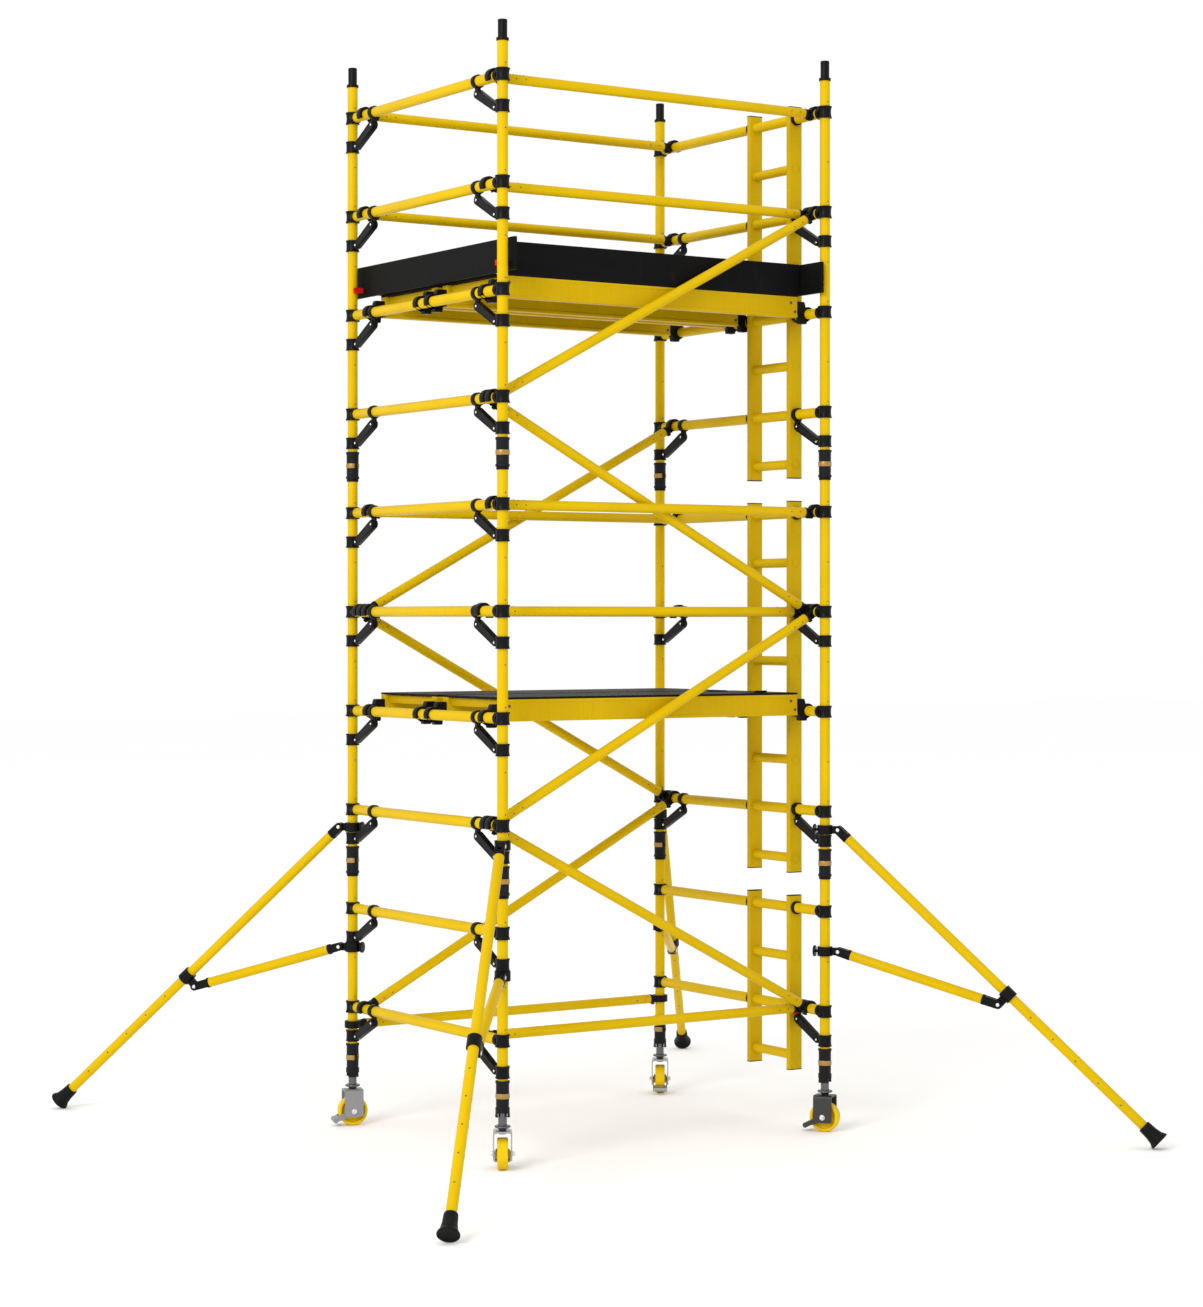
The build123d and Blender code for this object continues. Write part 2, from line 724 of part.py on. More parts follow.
trap_names = dict(zip(deck_levels, ("lower_trapdoor", "upper_trapdoor")))
trap_edge_y = hatch_y - hatch_width / 2 + trap_clear
trap_y = trap_edge_y - trap_pin_out
bracket_places = []
for level in deck_levels:
    top = level_height(level) + beam_above + seat + deck_thick
    collect(trap_names[level], (trapdoor_shape(), [Location((hatch_x, trap_y, top + trap_pin_rise))]))
    for knuckle in (-hatch_length / 3, hatch_length / 3):
        for side in (-1, 1):
            bracket_x = hatch_x + knuckle + side * ((trap_knuckle + trap_bracket) / 2 + swing)
            bracket_places.append(Location((bracket_x, trap_y, top + trap_pin_rise)))
collect("platform_decks", (deck_shape(False), deck_places), (deck_shape(True), hatch_deck_places),
        (trap_bracket_shape(), bracket_places))

# ------------------------------------------------------------------ toe boards
toe_z = level_height(deck_levels[1]) + beam_above + deck_thick + 2 * seat
end_board_x = post_x - stile_width / 2 - seat - toe_thick / 2  # clear of the ladder's stiles
long_board_length = 2 * (end_board_x - toe_thick / 2 - seat)
front_board_y = platform_middles[0] - (beam_spacing + beam_width) / 2 + toe_thick / 2
back_board_y = platform_middles[1] + (beam_spacing + beam_width) / 2 - toe_thick / 2


def board_shape(board_length):
    """Toe board along X, its underside on the origin's height, with softened top edges."""
    with BuildPart() as piece:
        with Locations((0, 0, toe_height / 2)):
            Box(board_length, toe_thick, toe_height)
        fillet(piece.edges().filter_by(Axis.X).group_by(Axis.Z)[-1], 3)
        fillet(piece.edges().filter_by(Axis.Y).group_by(Axis.Z)[-1], 8)
    return piece.part


def toe_clip_shape():
    """Clip block that holds an end board to the side of its post, reaching outwards along -X."""
    with BuildPart() as piece:
        with Locations((-post_outer / 2, 0, 0)):
            Box(post_outer, 14, 26)
    return piece.part


board_groups = [
    (board_shape(long_board_length), [Location((0, front_board_y, toe_z)), Location((0, back_board_y, toe_z))]),
    (board_shape(width + 2 * toe_overhang), [Location((-end_board_x, 0, toe_z), (0, 0, 90)),
                                            Location((end_board_x, 0, toe_z), (0, 0, 90))]),
]
collect("toe_boards", *board_groups)
toe_clip_y = post_y - toe_clip_inset
toe_clip_z = level_height(deck_levels[1]) + toe_clip_height
clip_root = end_board_x - toe_thick / 2 - seat
toe_clip_places = []
for side in (-1, 1):
    turn = 0 if side < 0 else 180
    toe_clip_places += [Location((side * (end_board_x + toe_thick / 2 + seat), y, toe_clip_z), (0, 0, turn))
                        for y in (-toe_clip_y, toe_clip_y)]
collect("toe_board_clips", (toe_clip_shape(), toe_clip_places))


# ------------------------------------------------------------------ jack legs and castors
def jack_leg_shape():
    """Grooved leg with its winged ring, hub and kingpin, on the castor's swivel axis."""
    radius = leg_outer / 2
    ring_low = wing_height - wing_thick / 2
    plate_low = swivel_height - fork_top_plate - swing
    with BuildPart() as piece:
        with BuildSketch(Plane.XZ):
            with BuildLine():
                Polyline(
                    (0, plate_low - kingpin_head_height), (kingpin_head / 2, plate_low - kingpin_head_height),
                    (kingpin_head / 2, plate_low), (kingpin / 2, plate_low),
                    (kingpin / 2, swivel_height + swing),
                    (hub_outer / 2 - 6, swivel_height + swing), (hub_outer / 2, ring_low),
                    (wing_outer / 2, ring_low), (wing_outer / 2, ring_low + wing_thick),
                    (radius, ring_low + wing_thick), (radius, leg_top - 3), (radius - 3, leg_top), (0, leg_top),
                    close=True,
                )
            make_face()
        revolve(axis=Axis.Z)
        fillet(piece.edges().filter_by(GeomType.CIRCLE).group_by(SortBy.RADIUS)[-1], wing_thick / 2 - 0.1)
        groove_count = int((leg_top - 20 - wing_height - wing_thick) / leg_groove_pitch)
        groove_z = [wing_height + wing_thick + 4 + leg_groove_pitch * i for i in range(groove_count)]
        with BuildSketch(Plane.XZ):
            with Locations(*[(radius, z + leg_groove_pitch / 4) for z in groove_z]):
                Rectangle(2 * leg_groove, leg_groove_pitch / 2)
        revolve(axis=Axis.Z, mode=Mode.SUBTRACT)
        with BuildSketch(Plane.XY.offset(ring_low + wing_thick)):
            Circle(wing_outer)
        extrude(amount=seat, mode=Mode.SUBTRACT)
    return piece.part


def jack_nut_shape():
    """Castellated adjusting nut under the post's foot, open at the front and the back (X)."""
    top = lift_foot["base"] - nut_top_gap
    with BuildPart() as piece:
        with BuildSketch(Plane.XY.offset(top - nut_height)):
            Circle(nut_outer / 2)
        extrude(amount=nut_height, taper=3)
        with BuildSketch(Plane.YZ):
            with Locations((0, top - nut_height)):
                Rectangle(nut_window, 2 * (nut_height - 11))
        extrude(amount=nut_outer, both=True, mode=Mode.SUBTRACT)
        with BuildSketch(Plane.XY.offset(top - nut_height)):
            Circle(leg_outer / 2 + swing)
        extrude(amount=nut_height, mode=Mode.SUBTRACT)
    return piece.part


def castor_fork_shape():
    """Fork on the kingpin: a crown and two side plates. The axle runs along Y, the pedal side is +X."""
    top = swivel_height
    half = fork_width / 2
    with BuildPart() as piece:
        with BuildSketch(Plane.YZ):
            with Locations((0, (top + fork_foot) / 2)):
                Rectangle(fork_width, top - fork_foot)
        extrude(amount=fork_length / 2, both=True)
        fillet(piece.edges().filter_by(Axis.X).group_by(Axis.Z)[-1], 14)
        with BuildSketch(Plane.YZ):
            with Locations((0, (top - fork_top_plate + fork_foot) / 2 - 10)):
                RectangleRounded(fork_width - 2 * fork_plate, top - fork_top_plate - fork_foot + 20, 9)
        extrude(amount=fork_length, both=True, mode=Mode.SUBTRACT)
        fillet(piece.edges().filter_by(Axis.Y).group_by(Axis.Z)[0], 12)
        with BuildSketch(Plane.XZ):
            with Locations((0, wheel_axle_height)):
                Circle(axle / 2 + pin_fit)
        extrude(amount=half + 1, both=True, mode=Mode.SUBTRACT)
        with BuildSketch(Plane.XY.offset(top - 2 * fork_top_plate)):
            Circle(kingpin / 2 + pin_fit)
        extrude(amount=3 * fork_top_plate, mode=Mode.SUBTRACT)
        with BuildSketch(Plane.YZ):
            with Locations((fork_plate + seat / 2 - half, top / 2), (half - fork_plate - seat / 2, top / 2)):
                Rectangle(seat, 2 * top)
        extrude(amount=fork_length, both=True, mode=Mode.SUBTRACT)
    return piece.part


def castor_wheel_shape():
    """Wheel with its tread, web and hub, and the axle along Y that is fixed in the hub."""
    r = wheel_outer / 2
    half = wheel_width / 2
    web = wheel_web / 2
    rim = r - tread_depth
    end = axle_span / 2
    bore = axle / 2 + seat
    with BuildPart() as piece:
        with BuildSketch(Plane.XY):
            with BuildLine():
                Polyline(
                    (bore, -wheel_hub_width / 2), (wheel_hub / 2, -wheel_hub_width / 2),
                    (wheel_hub / 2, -web), (rim, -web - 4), (rim, -half), (r - 4, -half),
                    (r, -half + 4), (r, half - 4), (r - 4, half), (rim, half), (rim, web + 4),
                    (wheel_hub / 2, web), (wheel_hub / 2, wheel_hub_width / 2), (bore, wheel_hub_width / 2),
                    close=True,
                )
            make_face()
        revolve(axis=Axis.Y)
        with BuildSketch(Plane.XZ):
            Circle(axle / 2)
        extrude(amount=end, both=True)
        head = end - fork_width / 2 - swing
        with BuildSketch(Plane.XZ.offset(-end), Plane.XZ.offset(end - head)):
            RegularPolygon(11, 6)
        extrude(amount=head)
    return piece.part.moved(Location((0, 0, wheel_axle_height)))


def brake_pedal_shape():
    """Brake pedal: two arms that turn on the axle inside the fork, joined by a bar past the tread."""
    arm_y = fork_width / 2 - fork_plate - swing - pedal_arm
    with BuildPart() as piece:
        with BuildSketch(Plane.XZ):
            with BuildLine():
                Polyline(
                    (-12, wheel_axle_height + 14), (12, wheel_axle_height + 14),
                    (pedal_reach, wheel_axle_height - pedal_drop + 10),
                    (pedal_reach, wheel_axle_height - pedal_drop - 10), (-12, wheel_axle_height - 16),
                    close=True,
                )
            make_face()
            with Locations((pedal_reach, wheel_axle_height - pedal_drop)):
                Circle(pedal_bar / 2)
        extrude(amount=arm_y + pedal_arm, both=True)
        with BuildSketch(Plane.XZ):
            with Locations((0, wheel_axle_height)):
                Circle(pedal_reach - 12)
        extrude(amount=arm_y, both=True, mode=Mode.SUBTRACT)
        with BuildSketch(Plane.XZ):
            with Locations((0, wheel_axle_height)):
                Circle(axle / 2 + swing)
        extrude(amount=fork_width, both=True, mode=Mode.SUBTRACT)
        with BuildSketch(Plane.YZ):
            with Locations((seat / 2 - arm_y, 0), (arm_y - seat / 2, 0)):
                Rectangle(seat, 4 * wheel_axle_height)
        extrude(amount=2 * pedal_reach, both=True, mode=Mode.SUBTRACT)
    return piece.part


# ------------------------------------------------------------------ stabilisers
upper_clamp_z = level_height(3) - knee_drop + knee_height / 2 + clamp_gap + clamp_height / 2
lower_clamp_z = level_height(2) - knee_drop - knee_height / 2 - clamp_gap - clamp_height / 2
lean = math.radians(stabiliser_angle)
leg_length = (upper_clamp_z - foot_outer / 2 * math.sin(lean)) / math.cos(lean)
leg_way = (math.sin(lean), -math.cos(lean))
strut_pivot = (
    clamp_pivot + slider_along * leg_way[0] - slider_drop * math.cos(lean),
    upper_clamp_z + slider_along * leg_way[1] - slider_drop * math.sin(lean),
)
strut_length = math.dist(strut_pivot, (clamp_pivot, lower_clamp_z))
strut_lean = math.degrees(math.atan2(strut_pivot[0] - clamp_pivot, lower_clamp_z - strut_pivot[1]))


def clamp_shape():
    """Clamp round a post at the origin, its pivot tongue towards +X and its knob towards -X."""
    with BuildPart() as piece:
        Cylinder(clamp_outer / 2, clamp_height)
        with BuildSketch(Plane.XZ):
            with Locations((clamp_pivot / 2, 0)):
                Rectangle(clamp_pivot, clamp_height - 8)
            with Locations((clamp_pivot, 0)):
                Circle((clamp_height - 8) / 2)
        extrude(amount=clamp_tongue / 2, both=True)
        with BuildSketch(Plane.YZ):
            Circle(7)
        extrude(amount=-knob_reach)
        with BuildSketch(Plane.YZ.offset(-knob_reach)):
            Circle(knob_outer / 2)
        extrude(amount=knob_thick)
        fillet(piece.faces().sort_by(Axis.X)[0].edges(), 3)
        Cylinder(post_outer / 2 + swing, 2 * clamp_height, mode=Mode.SUBTRACT)
        with BuildSketch(Plane.XZ):
            with Locations((clamp_pivot, 0)):
                Circle(stay_pin / 2 + pin_fit)
        extrude(amount=clamp_tongue, both=True, mode=Mode.SUBTRACT)
    return piece.part


def stay_end_shape():
    """Forked end of a stabiliser tube, its pivot pin on Y through the origin and the tube along +X."""
    cheek = (stay_fork_outer - clamp_tongue) / 2 - swing
    eye = clamp_eye
    with BuildPart() as piece:
        with BuildSketch(Plane.XZ):
            Circle(eye)
            with Locations((stay_end / 2, 0)):
                Rectangle(stay_end, 2 * eye)
        extrude(amount=stay_fork_outer / 2, both=True)
        with BuildSketch(Plane.YZ.offset(stay_end - 16)):
            Circle(stay_outer / 2 + 2)
        extrude(amount=16)
        with BuildSketch(Plane.YZ.offset(stay_end)):
            Circle(stay_outer / 2 - stay_wall - seat)
        extrude(amount=50)
        with BuildSketch(Plane.XZ):
            Circle(clamp_height / 2 + 6)
        extrude(amount=stay_fork_outer / 2 - cheek, both=True, mode=Mode.SUBTRACT)
    return piece.part


def stay_pin_shape():
    """Pivot pin along Y with a head each side of the fork."""
    with BuildPart() as piece:
        with BuildSketch(Plane.XZ):
            Circle(stay_pin / 2)
        extrude(amount=stay_fork_outer / 2 + 1, both=True)
        with BuildSketch(Plane.XZ.offset(stay_fork_outer / 2), Plane.XZ.offset(-stay_fork_outer / 2 - 4)):
            Circle(stay_pin / 2 + 4)
        extrude(amount=4)
    return piece.part


def foot_shape():
    """Rubber foot on a tube's end; local +X runs down the leg and its sole is at the origin."""
    with BuildPart() as piece:
        with BuildSketch(Plane.XY):
            with BuildLine():
                Polyline(
                    (-foot_length, 0), (-foot_length, foot_top / 2), (-foot_length + 12, foot_top / 2),
                    (-14, foot_outer / 2 - 4), (-10, foot_outer / 2), (0, foot_outer / 2), (0, 0),
                    close=True,
                )
            make_face()
        revolve(axis=Axis.X)
        with BuildSketch(Plane.YZ.offset(-foot_length)):
            Circle(stay_outer / 2 + seat)
        extrude(amount=foot_insert, mode=Mode.SUBTRACT)
    return piece.part


def slider_shape():
    """Locking collar round the leg (along X) with the tongue that carries the strut, towards -Z."""
    with BuildPart() as piece:
        with BuildSketch(Plane.YZ.offset(-slider_length / 2)):
            Circle(slider_outer / 2)
        extrude(amount=slider_length)
        with BuildSketch(Plane.XZ):
            with Locations((0, -slider_drop / 2)):
                Rectangle(2 * clamp_eye, slider_drop)
            with Locations((0, -slider_drop)):
                Circle(clamp_eye)
        extrude(amount=clamp_tongue / 2, both=True)
        with BuildSketch(Plane.YZ.offset(-slider_length)):
            Circle(stay_outer / 2 + swing)
        extrude(amount=2 * slider_length, mode=Mode.SUBTRACT)
    return piece.part


def strut_end_shape():
    """Open fork at the strut's outer end: two cheeks beside the collar's tongue; the tube is towards -X."""
    with BuildPart() as piece:
        with BuildSketch(Plane.XZ):
            Circle(clamp_eye)
            with Locations((-(stay_end + 20) / 2, 0)):
                Rectangle(stay_end + 20, 2 * clamp_eye)
        extrude(amount=stay_fork_outer / 2, both=True)
        with BuildSketch(Plane.YZ.offset(-stay_end - 20)):
            Circle(stay_outer / 2 + 2)
        extrude(amount=16)
        with BuildSketch(Plane.YZ.offset(-stay_end - 20)):
            Circle(stay_outer / 2 - stay_wall - seat)
        extrude(amount=-50)
        with BuildSketch(Plane.XZ):
            with Locations((-10, 0)):
                Rectangle(2 * (stay_end - 12), 4 * clamp_eye)
        extrude(amount=clamp_tongue / 2 + swing, both=True, mode=Mode.SUBTRACT)
        with BuildSketch(Plane.XZ.offset(stay_fork_outer / 2), Plane.XZ.offset(-stay_fork_outer / 2 - 4)):
            Circle(stay_pin / 2 + 4)
        extrude(amount=4)
    return piece.part


fork = castor_fork_shape()
leg = jack_leg_shape()
nut = jack_nut_shape()
wheel = castor_wheel_shape()
pedal = brake_pedal_shape()
clamp = clamp_shape()
stay_end_piece = stay_end_shape()
stay_pin_piece = stay_pin_shape()
foot = foot_shape()
slider = slider_shape()
strut_end = strut_end_shape()
leg_tube = tube_shape(leg_length - stay_end - foot_length + foot_insert - seat, stay_outer,
                      stay_outer - 2 * stay_wall)
strut_tube = tube_shape(strut_length - 2 * stay_end - 20, stay_outer, stay_outer - 2 * stay_wall)
tube_turn = Location((stay_end, 0, 0), (0, 90, 0))

for corner, (sx, sy, heading) in corners.items():
    on_post = Location((sx * post_x, sy * post_y, 0))
    castor = Location((sx * post_x, sy * post_y, 0), (0, 0, heading))
    outward = math.degrees(math.atan2(sy * math.sin(math.radians(stabiliser_heading)),
                                      sx * math.cos(math.radians(stabiliser_heading))))
    side = Location((sx * post_x, sy * post_y, 0), (0, 0, outward))
    upper = side * Location((0, 0, upper_clamp_z))
    lower = side * Location((0, 0, lower_clamp_z))
    down_leg = side * Location((clamp_pivot, 0, upper_clamp_z), (0, 90 - stabiliser_angle, 0))
    down_strut = side * Location((clamp_pivot, 0, lower_clamp_z), (0, 90 - strut_lean, 0))
    collect(f"{corner}_jack_leg", (leg, [on_post]))
    collect(f"{corner}_jack_nut", (nut, [castor]))
    collect(f"{corner}_castor_fork", (fork, [castor]))
    collect(f"{corner}_castor_wheel", (wheel, [castor]))
    collect(f"{corner}_brake_pedal", (pedal, [castor]))
    collect(f"{corner}_stabiliser_clamps", (clamp, [upper, lower]))
    collect(f"{corner}_stabiliser_leg", (stay_end_piece, [down_leg]), (stay_pin_piece, [down_leg]),
            (leg_tube, [down_leg * tube_turn]), (foot, [down_leg * Location((leg_length, 0, 0))]))
    collect(f"{corner}_stabiliser_collar", (slider, [down_leg * Location((slider_along, 0, 0))]))
    collect(f"{corner}_stabiliser_strut", (stay_end_piece, [down_strut]), (stay_pin_piece, [down_strut]),
            (strut_tube, [down_strut * tube_turn]), (strut_end, [down_strut * Location((strut_length, 0, 0))]))

print("upper clamp", round(upper_clamp_z, 2), "lower clamp", round(lower_clamp_z, 2))
print("leg length", round(leg_length, 2), "strut length", round(strut_length, 2), "strut lean",
      round(strut_lean, 3), "strut pivot", [round(v, 2) for v in strut_pivot])
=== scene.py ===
# %% [markdown]
# # A mobile tower scaffold, piece by piece
#
# The tower is built from yellow glass-fibre tubes held by black nylon fittings. Two end frames, one of
# them with a ladder, are tied by braces and platforms, and it stands on castors with four stabilisers.
# The CAD model is loaded first, as a fixed frame. It gives every place and every size, so each new
# surface is put where the CAD says and needs no fitting.

# %% Load the CAD frame
import math

import bmesh
import bpy
import numpy as np
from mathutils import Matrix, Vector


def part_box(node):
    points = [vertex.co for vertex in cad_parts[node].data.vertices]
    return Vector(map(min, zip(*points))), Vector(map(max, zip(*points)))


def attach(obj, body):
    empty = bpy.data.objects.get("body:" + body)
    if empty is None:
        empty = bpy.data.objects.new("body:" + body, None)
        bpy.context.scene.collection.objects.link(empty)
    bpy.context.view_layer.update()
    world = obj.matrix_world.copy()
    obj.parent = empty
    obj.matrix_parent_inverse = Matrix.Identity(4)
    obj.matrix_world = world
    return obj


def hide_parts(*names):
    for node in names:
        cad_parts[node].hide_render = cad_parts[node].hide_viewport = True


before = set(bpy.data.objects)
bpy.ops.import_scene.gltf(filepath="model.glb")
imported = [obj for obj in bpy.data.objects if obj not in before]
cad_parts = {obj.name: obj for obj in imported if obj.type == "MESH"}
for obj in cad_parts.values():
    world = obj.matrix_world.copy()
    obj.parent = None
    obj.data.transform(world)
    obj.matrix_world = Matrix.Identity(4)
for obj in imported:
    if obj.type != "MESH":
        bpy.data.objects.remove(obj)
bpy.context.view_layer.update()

rng = np.random.default_rng(11)

# %% [markdown]
# ## The sizes that repeat
#
# A tower is a grid: four posts, and rungs every half metre. Working out the posts' places and the rung
# levels once lets every fitting be a short list of places. Shapes are drawn in millimetres, as a
# drawing office would, and turned into Blender's metres when the mesh is made.

# %% Grid of the tower, read from the frame, in millimetres
low_corner, high_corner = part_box("base_plain_frame")
socket_low, socket_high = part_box("rung_sockets")
post_x = -500 * (low_corner.x + high_corner.x)
post_r = 25.5
post_y = 1000 * high_corner.y - post_r
first_rung = 1000 * socket_low.z + 30
pitch = (1000 * (socket_high.z - socket_low.z) - 60) / 9
lifts = {"base": (1, 2), "middle": (3, 6), "top": (7, 10)}
corners = {"front_left": (-1, -1, 59.0), "front_right": (1, -1, 124.5),
           "back_left": (-1, 1, 162.5), "back_right": (1, 1, 235.7)}


def level_height(level):
    """Height of a rung's axis: the first rung plus whole pitches."""
    return first_rung + pitch * (level - 1)


print("posts at", round(post_x, 1), round(post_y, 1))
print("first rung", round(first_rung, 1), "pitch", round(pitch, 1))

# %% [markdown]
# ## Surfaces from arrays
#
# Nearly every piece here is either turned, like the tubes and collars, or cut from a slab, like the
# hooks and links. Two functions cover both. Each works out all of its points at once as a grid, and
# gives back points and faces, so that one shape can be set down many times without working it out again.

# %% Places: 4 by 4 matrices
def shift(x=0.0, y=0.0, z=0.0):
    """A move: the identity matrix with the move in its last column."""
    matrix = np.eye(4)
    matrix[:3, 3] = (x, y, z)
    return matrix


def turn(axis, degrees):
    """A turn about x, y or z by the right-hand rule: cosines on two diagonal places, sines off them."""
    first, second = {"x": (1, 2), "y": (2, 0), "z": (0, 1)}[axis]
    cosine, sine = math.cos(math.radians(degrees)), math.sin(math.radians(degrees))
    matrix = np.eye(4)
    matrix[first, first] = matrix[second, second] = cosine
    matrix[first, second], matrix[second, first] = -sine, sine
    return matrix


def facing(side_x, side_y, z):
    """A place on a post whose +Y runs along the rung, to the tower's middle."""
    return shift(side_x * post_x, side_y * post_y, z) @ turn("z", 0 if side_y < 0 else 180)


all_posts = [(-1, -1), (-1, 1), (1, -1), (1, 1)]

# %% Turned surfaces and slabs
def grid_faces(rows, columns, closed_rows=False):
    """Quads of a grid that is closed round its columns: each joins (i, j), (i, j+1), (i+1, j+1), (i+1, j)."""
    i, j = np.meshgrid(np.arange(rows if closed_rows else rows - 1), np.arange(columns), indexing="ij")
    below, beside = (i + 1) % rows, (j + 1) % columns
    quads = [i * columns + j, i * columns + beside, below * columns + beside, below * columns + j]
    return np.stack(quads, -1).reshape(-1, 4)


def turned(profile, segments=32, loop=False):
    """A profile of (radius, height) turned about Z: x is radius times cos(angle), y is radius times
    sin(angle), and z is the height. A loop profile closes on itself, and any other gets flat ends."""
    profile = np.asarray(profile, float)
    angle = np.linspace(0, 2 * math.pi, segments, endpoint=False)
    radius, height = profile[:, :1], profile[:, 1:]
    points = np.stack([radius * np.cos(angle), radius * np.sin(angle), height + 0 * angle], -1)
    faces = [grid_faces(len(profile), segments, loop)]
    if not loop:
        ring = np.arange(segments)
        faces += [ring[None, ::-1], ring[None] + (len(profile) - 1) * segments]
    return points.reshape(-1, 3), faces


def slab(outline, rows):
    """A closed outline (x, z) carried across Y. Each row is (inset, y): the outline is drawn in by the
    inset along its own mitred normals, and set at that y. The first and last rows are filled."""
    outline = np.asarray(outline, float)
    after = np.roll(outline, -1, 0) - outline
    if (outline[:, 0] * np.roll(outline[:, 1], -1) - outline[:, 1] * np.roll(outline[:, 0], -1)).sum() < 0:
        outline = outline[::-1]
        after = np.roll(outline, -1, 0) - outline
    normal = np.stack([after[:, 1], -after[:, 0]], 1) / np.linalg.norm(after, axis=1, keepdims=True)
    mitre = normal + np.roll(normal, 1, 0)
    mitre /= np.maximum((mitre * normal).sum(1, keepdims=True), 0.4)
    rows = np.asarray(rows, float)
    drawn = outline[None] - rows[:, :1, None] * mitre[None]
    points = np.stack([drawn[..., 0], rows[:, 1:] + 0 * drawn[..., 0], drawn[..., 1]], -1)
    count = len(outline)
    ring = np.arange(count)
    faces = [grid_faces(len(rows), count), ring[None, ::-1], ring[None] + (len(rows) - 1) * count]
    return points.reshape(-1, 3), faces


def soft_rows(thick, edge, rim=0.0, sunk=0.0):
    """Rows for a slab: a quarter round of radius edge at each face, and a panel sunk inside a rim."""
    quarter = np.radians([0, 30, 60, 90])
    face = np.stack([edge * (1 - np.sin(quarter)), thick / 2 - edge * (1 - np.cos(quarter))], 1)
    if sunk:
        panel = [(edge + rim + sunk, thick / 2 - sunk), (edge + rim, thick / 2)]
        face = np.concatenate([panel, face])
    return np.concatenate([face, (face * (1, -1))[::-1]])


def arc(x, z, radius, start, end, steps=8):
    """Points at equal angles on a circle, from start to end in degrees."""
    angle = np.radians(np.linspace(start, end, steps + 1))
    return np.stack([x + radius * np.cos(angle), z + radius * np.sin(angle)], 1)


def rounded(points, radius, steps=3, closed=False):
    """A line with its corners rounded: each corner becomes a quadratic curve that leaves and joins the
    two runs at the radius from the corner, or at half the shorter run."""
    points = np.asarray(points, float)
    before, after = np.roll(points, 1, 0), np.roll(points, -1, 0)
    short = np.minimum(np.linalg.norm(points - before, axis=1), np.linalg.norm(after - points, axis=1))
    reach = np.minimum(radius, 0.48 * short)[:, None]
    leave = points + (before - points) * reach / np.linalg.norm(before - points, axis=1, keepdims=True)
    join = points + (after - points) * reach / np.linalg.norm(after - points, axis=1, keepdims=True)
    t = np.linspace(0, 1, steps + 1)[None, :, None]
    curve = (1 - t) ** 2 * leave[:, None] + 2 * t * (1 - t) * points[:, None] + t ** 2 * join[:, None]
    if closed:
        return curve.reshape(-1, 2)
    return np.concatenate([points[:1], curve[1:-1].reshape(-1, 2), points[-1:]])


def tube(tube_length, outer, wall, segments=36):
    """A tube along Z: a narrow loop of outer wall, end, inner wall and end, turned about the axis."""
    inner = outer - wall
    loop = [(outer, 0), (outer, tube_length), (inner, tube_length), (inner, 0)]
    return turned(rounded(loop, 0.9, 2, closed=True), segments, loop=True)


def box_slab(width, thick, height, edge=1.5):
    """A block with rounded edges, centred on the origin: a rounded rectangle carried across Y."""
    x, z = width / 2, height / 2
    return slab(rounded([(-x, -z), (x, -z), (x, z), (-x, z)], edge, 3, closed=True), soft_rows(thick, edge))


print("shape helpers ready; a tube has", len(tube(100, 25.5, 3)[0]), "points")

# %% [markdown]
# ## From shapes to a Blender object
#
# One object per kind of piece keeps the outliner short: all sockets are one mesh. Each vertex also
# keeps its own point on the single shape, with a chance shift for each copy, in an attribute called
# grain. A material that reads it can run its fibres along every tube, whichever way the tube points.

# %% Build, ride, replace
def build(name, parts, material, body="tower", replaces=(), crease=38):
    """Joins shapes at their places. Each part is (shape, places); points are turned, moved and scaled to
    metres as whole arrays. Returns the object, riding on its CAD body."""
    points, grain, corner_lists, sizes, total = [], [], [], [], 0
    for (shape_points, shape_faces), places in parts:
        for place in places:
            points.append(shape_points @ place[:3, :3].T + place[:3, 3])
            grain.append(shape_points + rng.uniform(-900, 900, 3))
            for faces in shape_faces:
                corner_lists.append((faces + total).ravel())
                sizes.append(np.full(len(faces), faces.shape[1]))
            total += len(shape_points)
    points, grain = np.concatenate(points) / 1000, np.concatenate(grain) / 1000
    corner_list, sizes = np.concatenate(corner_lists), np.concatenate(sizes)
    mesh = bpy.data.meshes.new(name)
    mesh.vertices.add(len(points))
    mesh.vertices.foreach_set("co", points.astype(np.float32).ravel())
    mesh.loops.add(len(corner_list))
    mesh.loops.foreach_set("vertex_index", corner_list.astype(np.int32))
    mesh.polygons.add(len(sizes))
    mesh.polygons.foreach_set("loop_start", np.concatenate([[0], np.cumsum(sizes)[:-1]]).astype(np.int32))
    mesh.update(calc_edges=True)
    grain_data = mesh.attributes.new("grain", "FLOAT_VECTOR", "POINT").data
    grain_data.foreach_set("vector", grain.astype(np.float32).ravel())
    shell = bmesh.new()
    shell.from_mesh(mesh)
    bmesh.ops.recalc_face_normals(shell, faces=shell.faces)
    shell.to_mesh(mesh)
    shell.free()
    mesh.shade_smooth()
    mesh.set_sharp_from_angle(angle=math.radians(crease))
    mesh.materials.append(material)
    piece = bpy.data.objects.new(name, mesh)
    bpy.context.scene.collection.objects.link(piece)
    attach(piece, body)
    if replaces:
        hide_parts(*replaces)
    triangles = int((sizes - 2).sum())
    print(f"{name}: {triangles} triangles")
    return piece


def finish_cad(node, material):
    """Gives a CAD node that stays in view its finish."""
    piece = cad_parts[node]
    if not piece.material_slots:
        piece.data.materials.append(material)
    for material_slot in piece.material_slots:
        material_slot.material = material


# %% [markdown]
# ## Finishes
#
# Three effects are shared by most finishes: thin scuffs, a film of dust, and a fine moulded grain. Each
# is a node group, built once, which puts out only a mask or a height. The Principled shader stays in
# the material, so that the numbers which don't change over the surface sit on its own sockets.

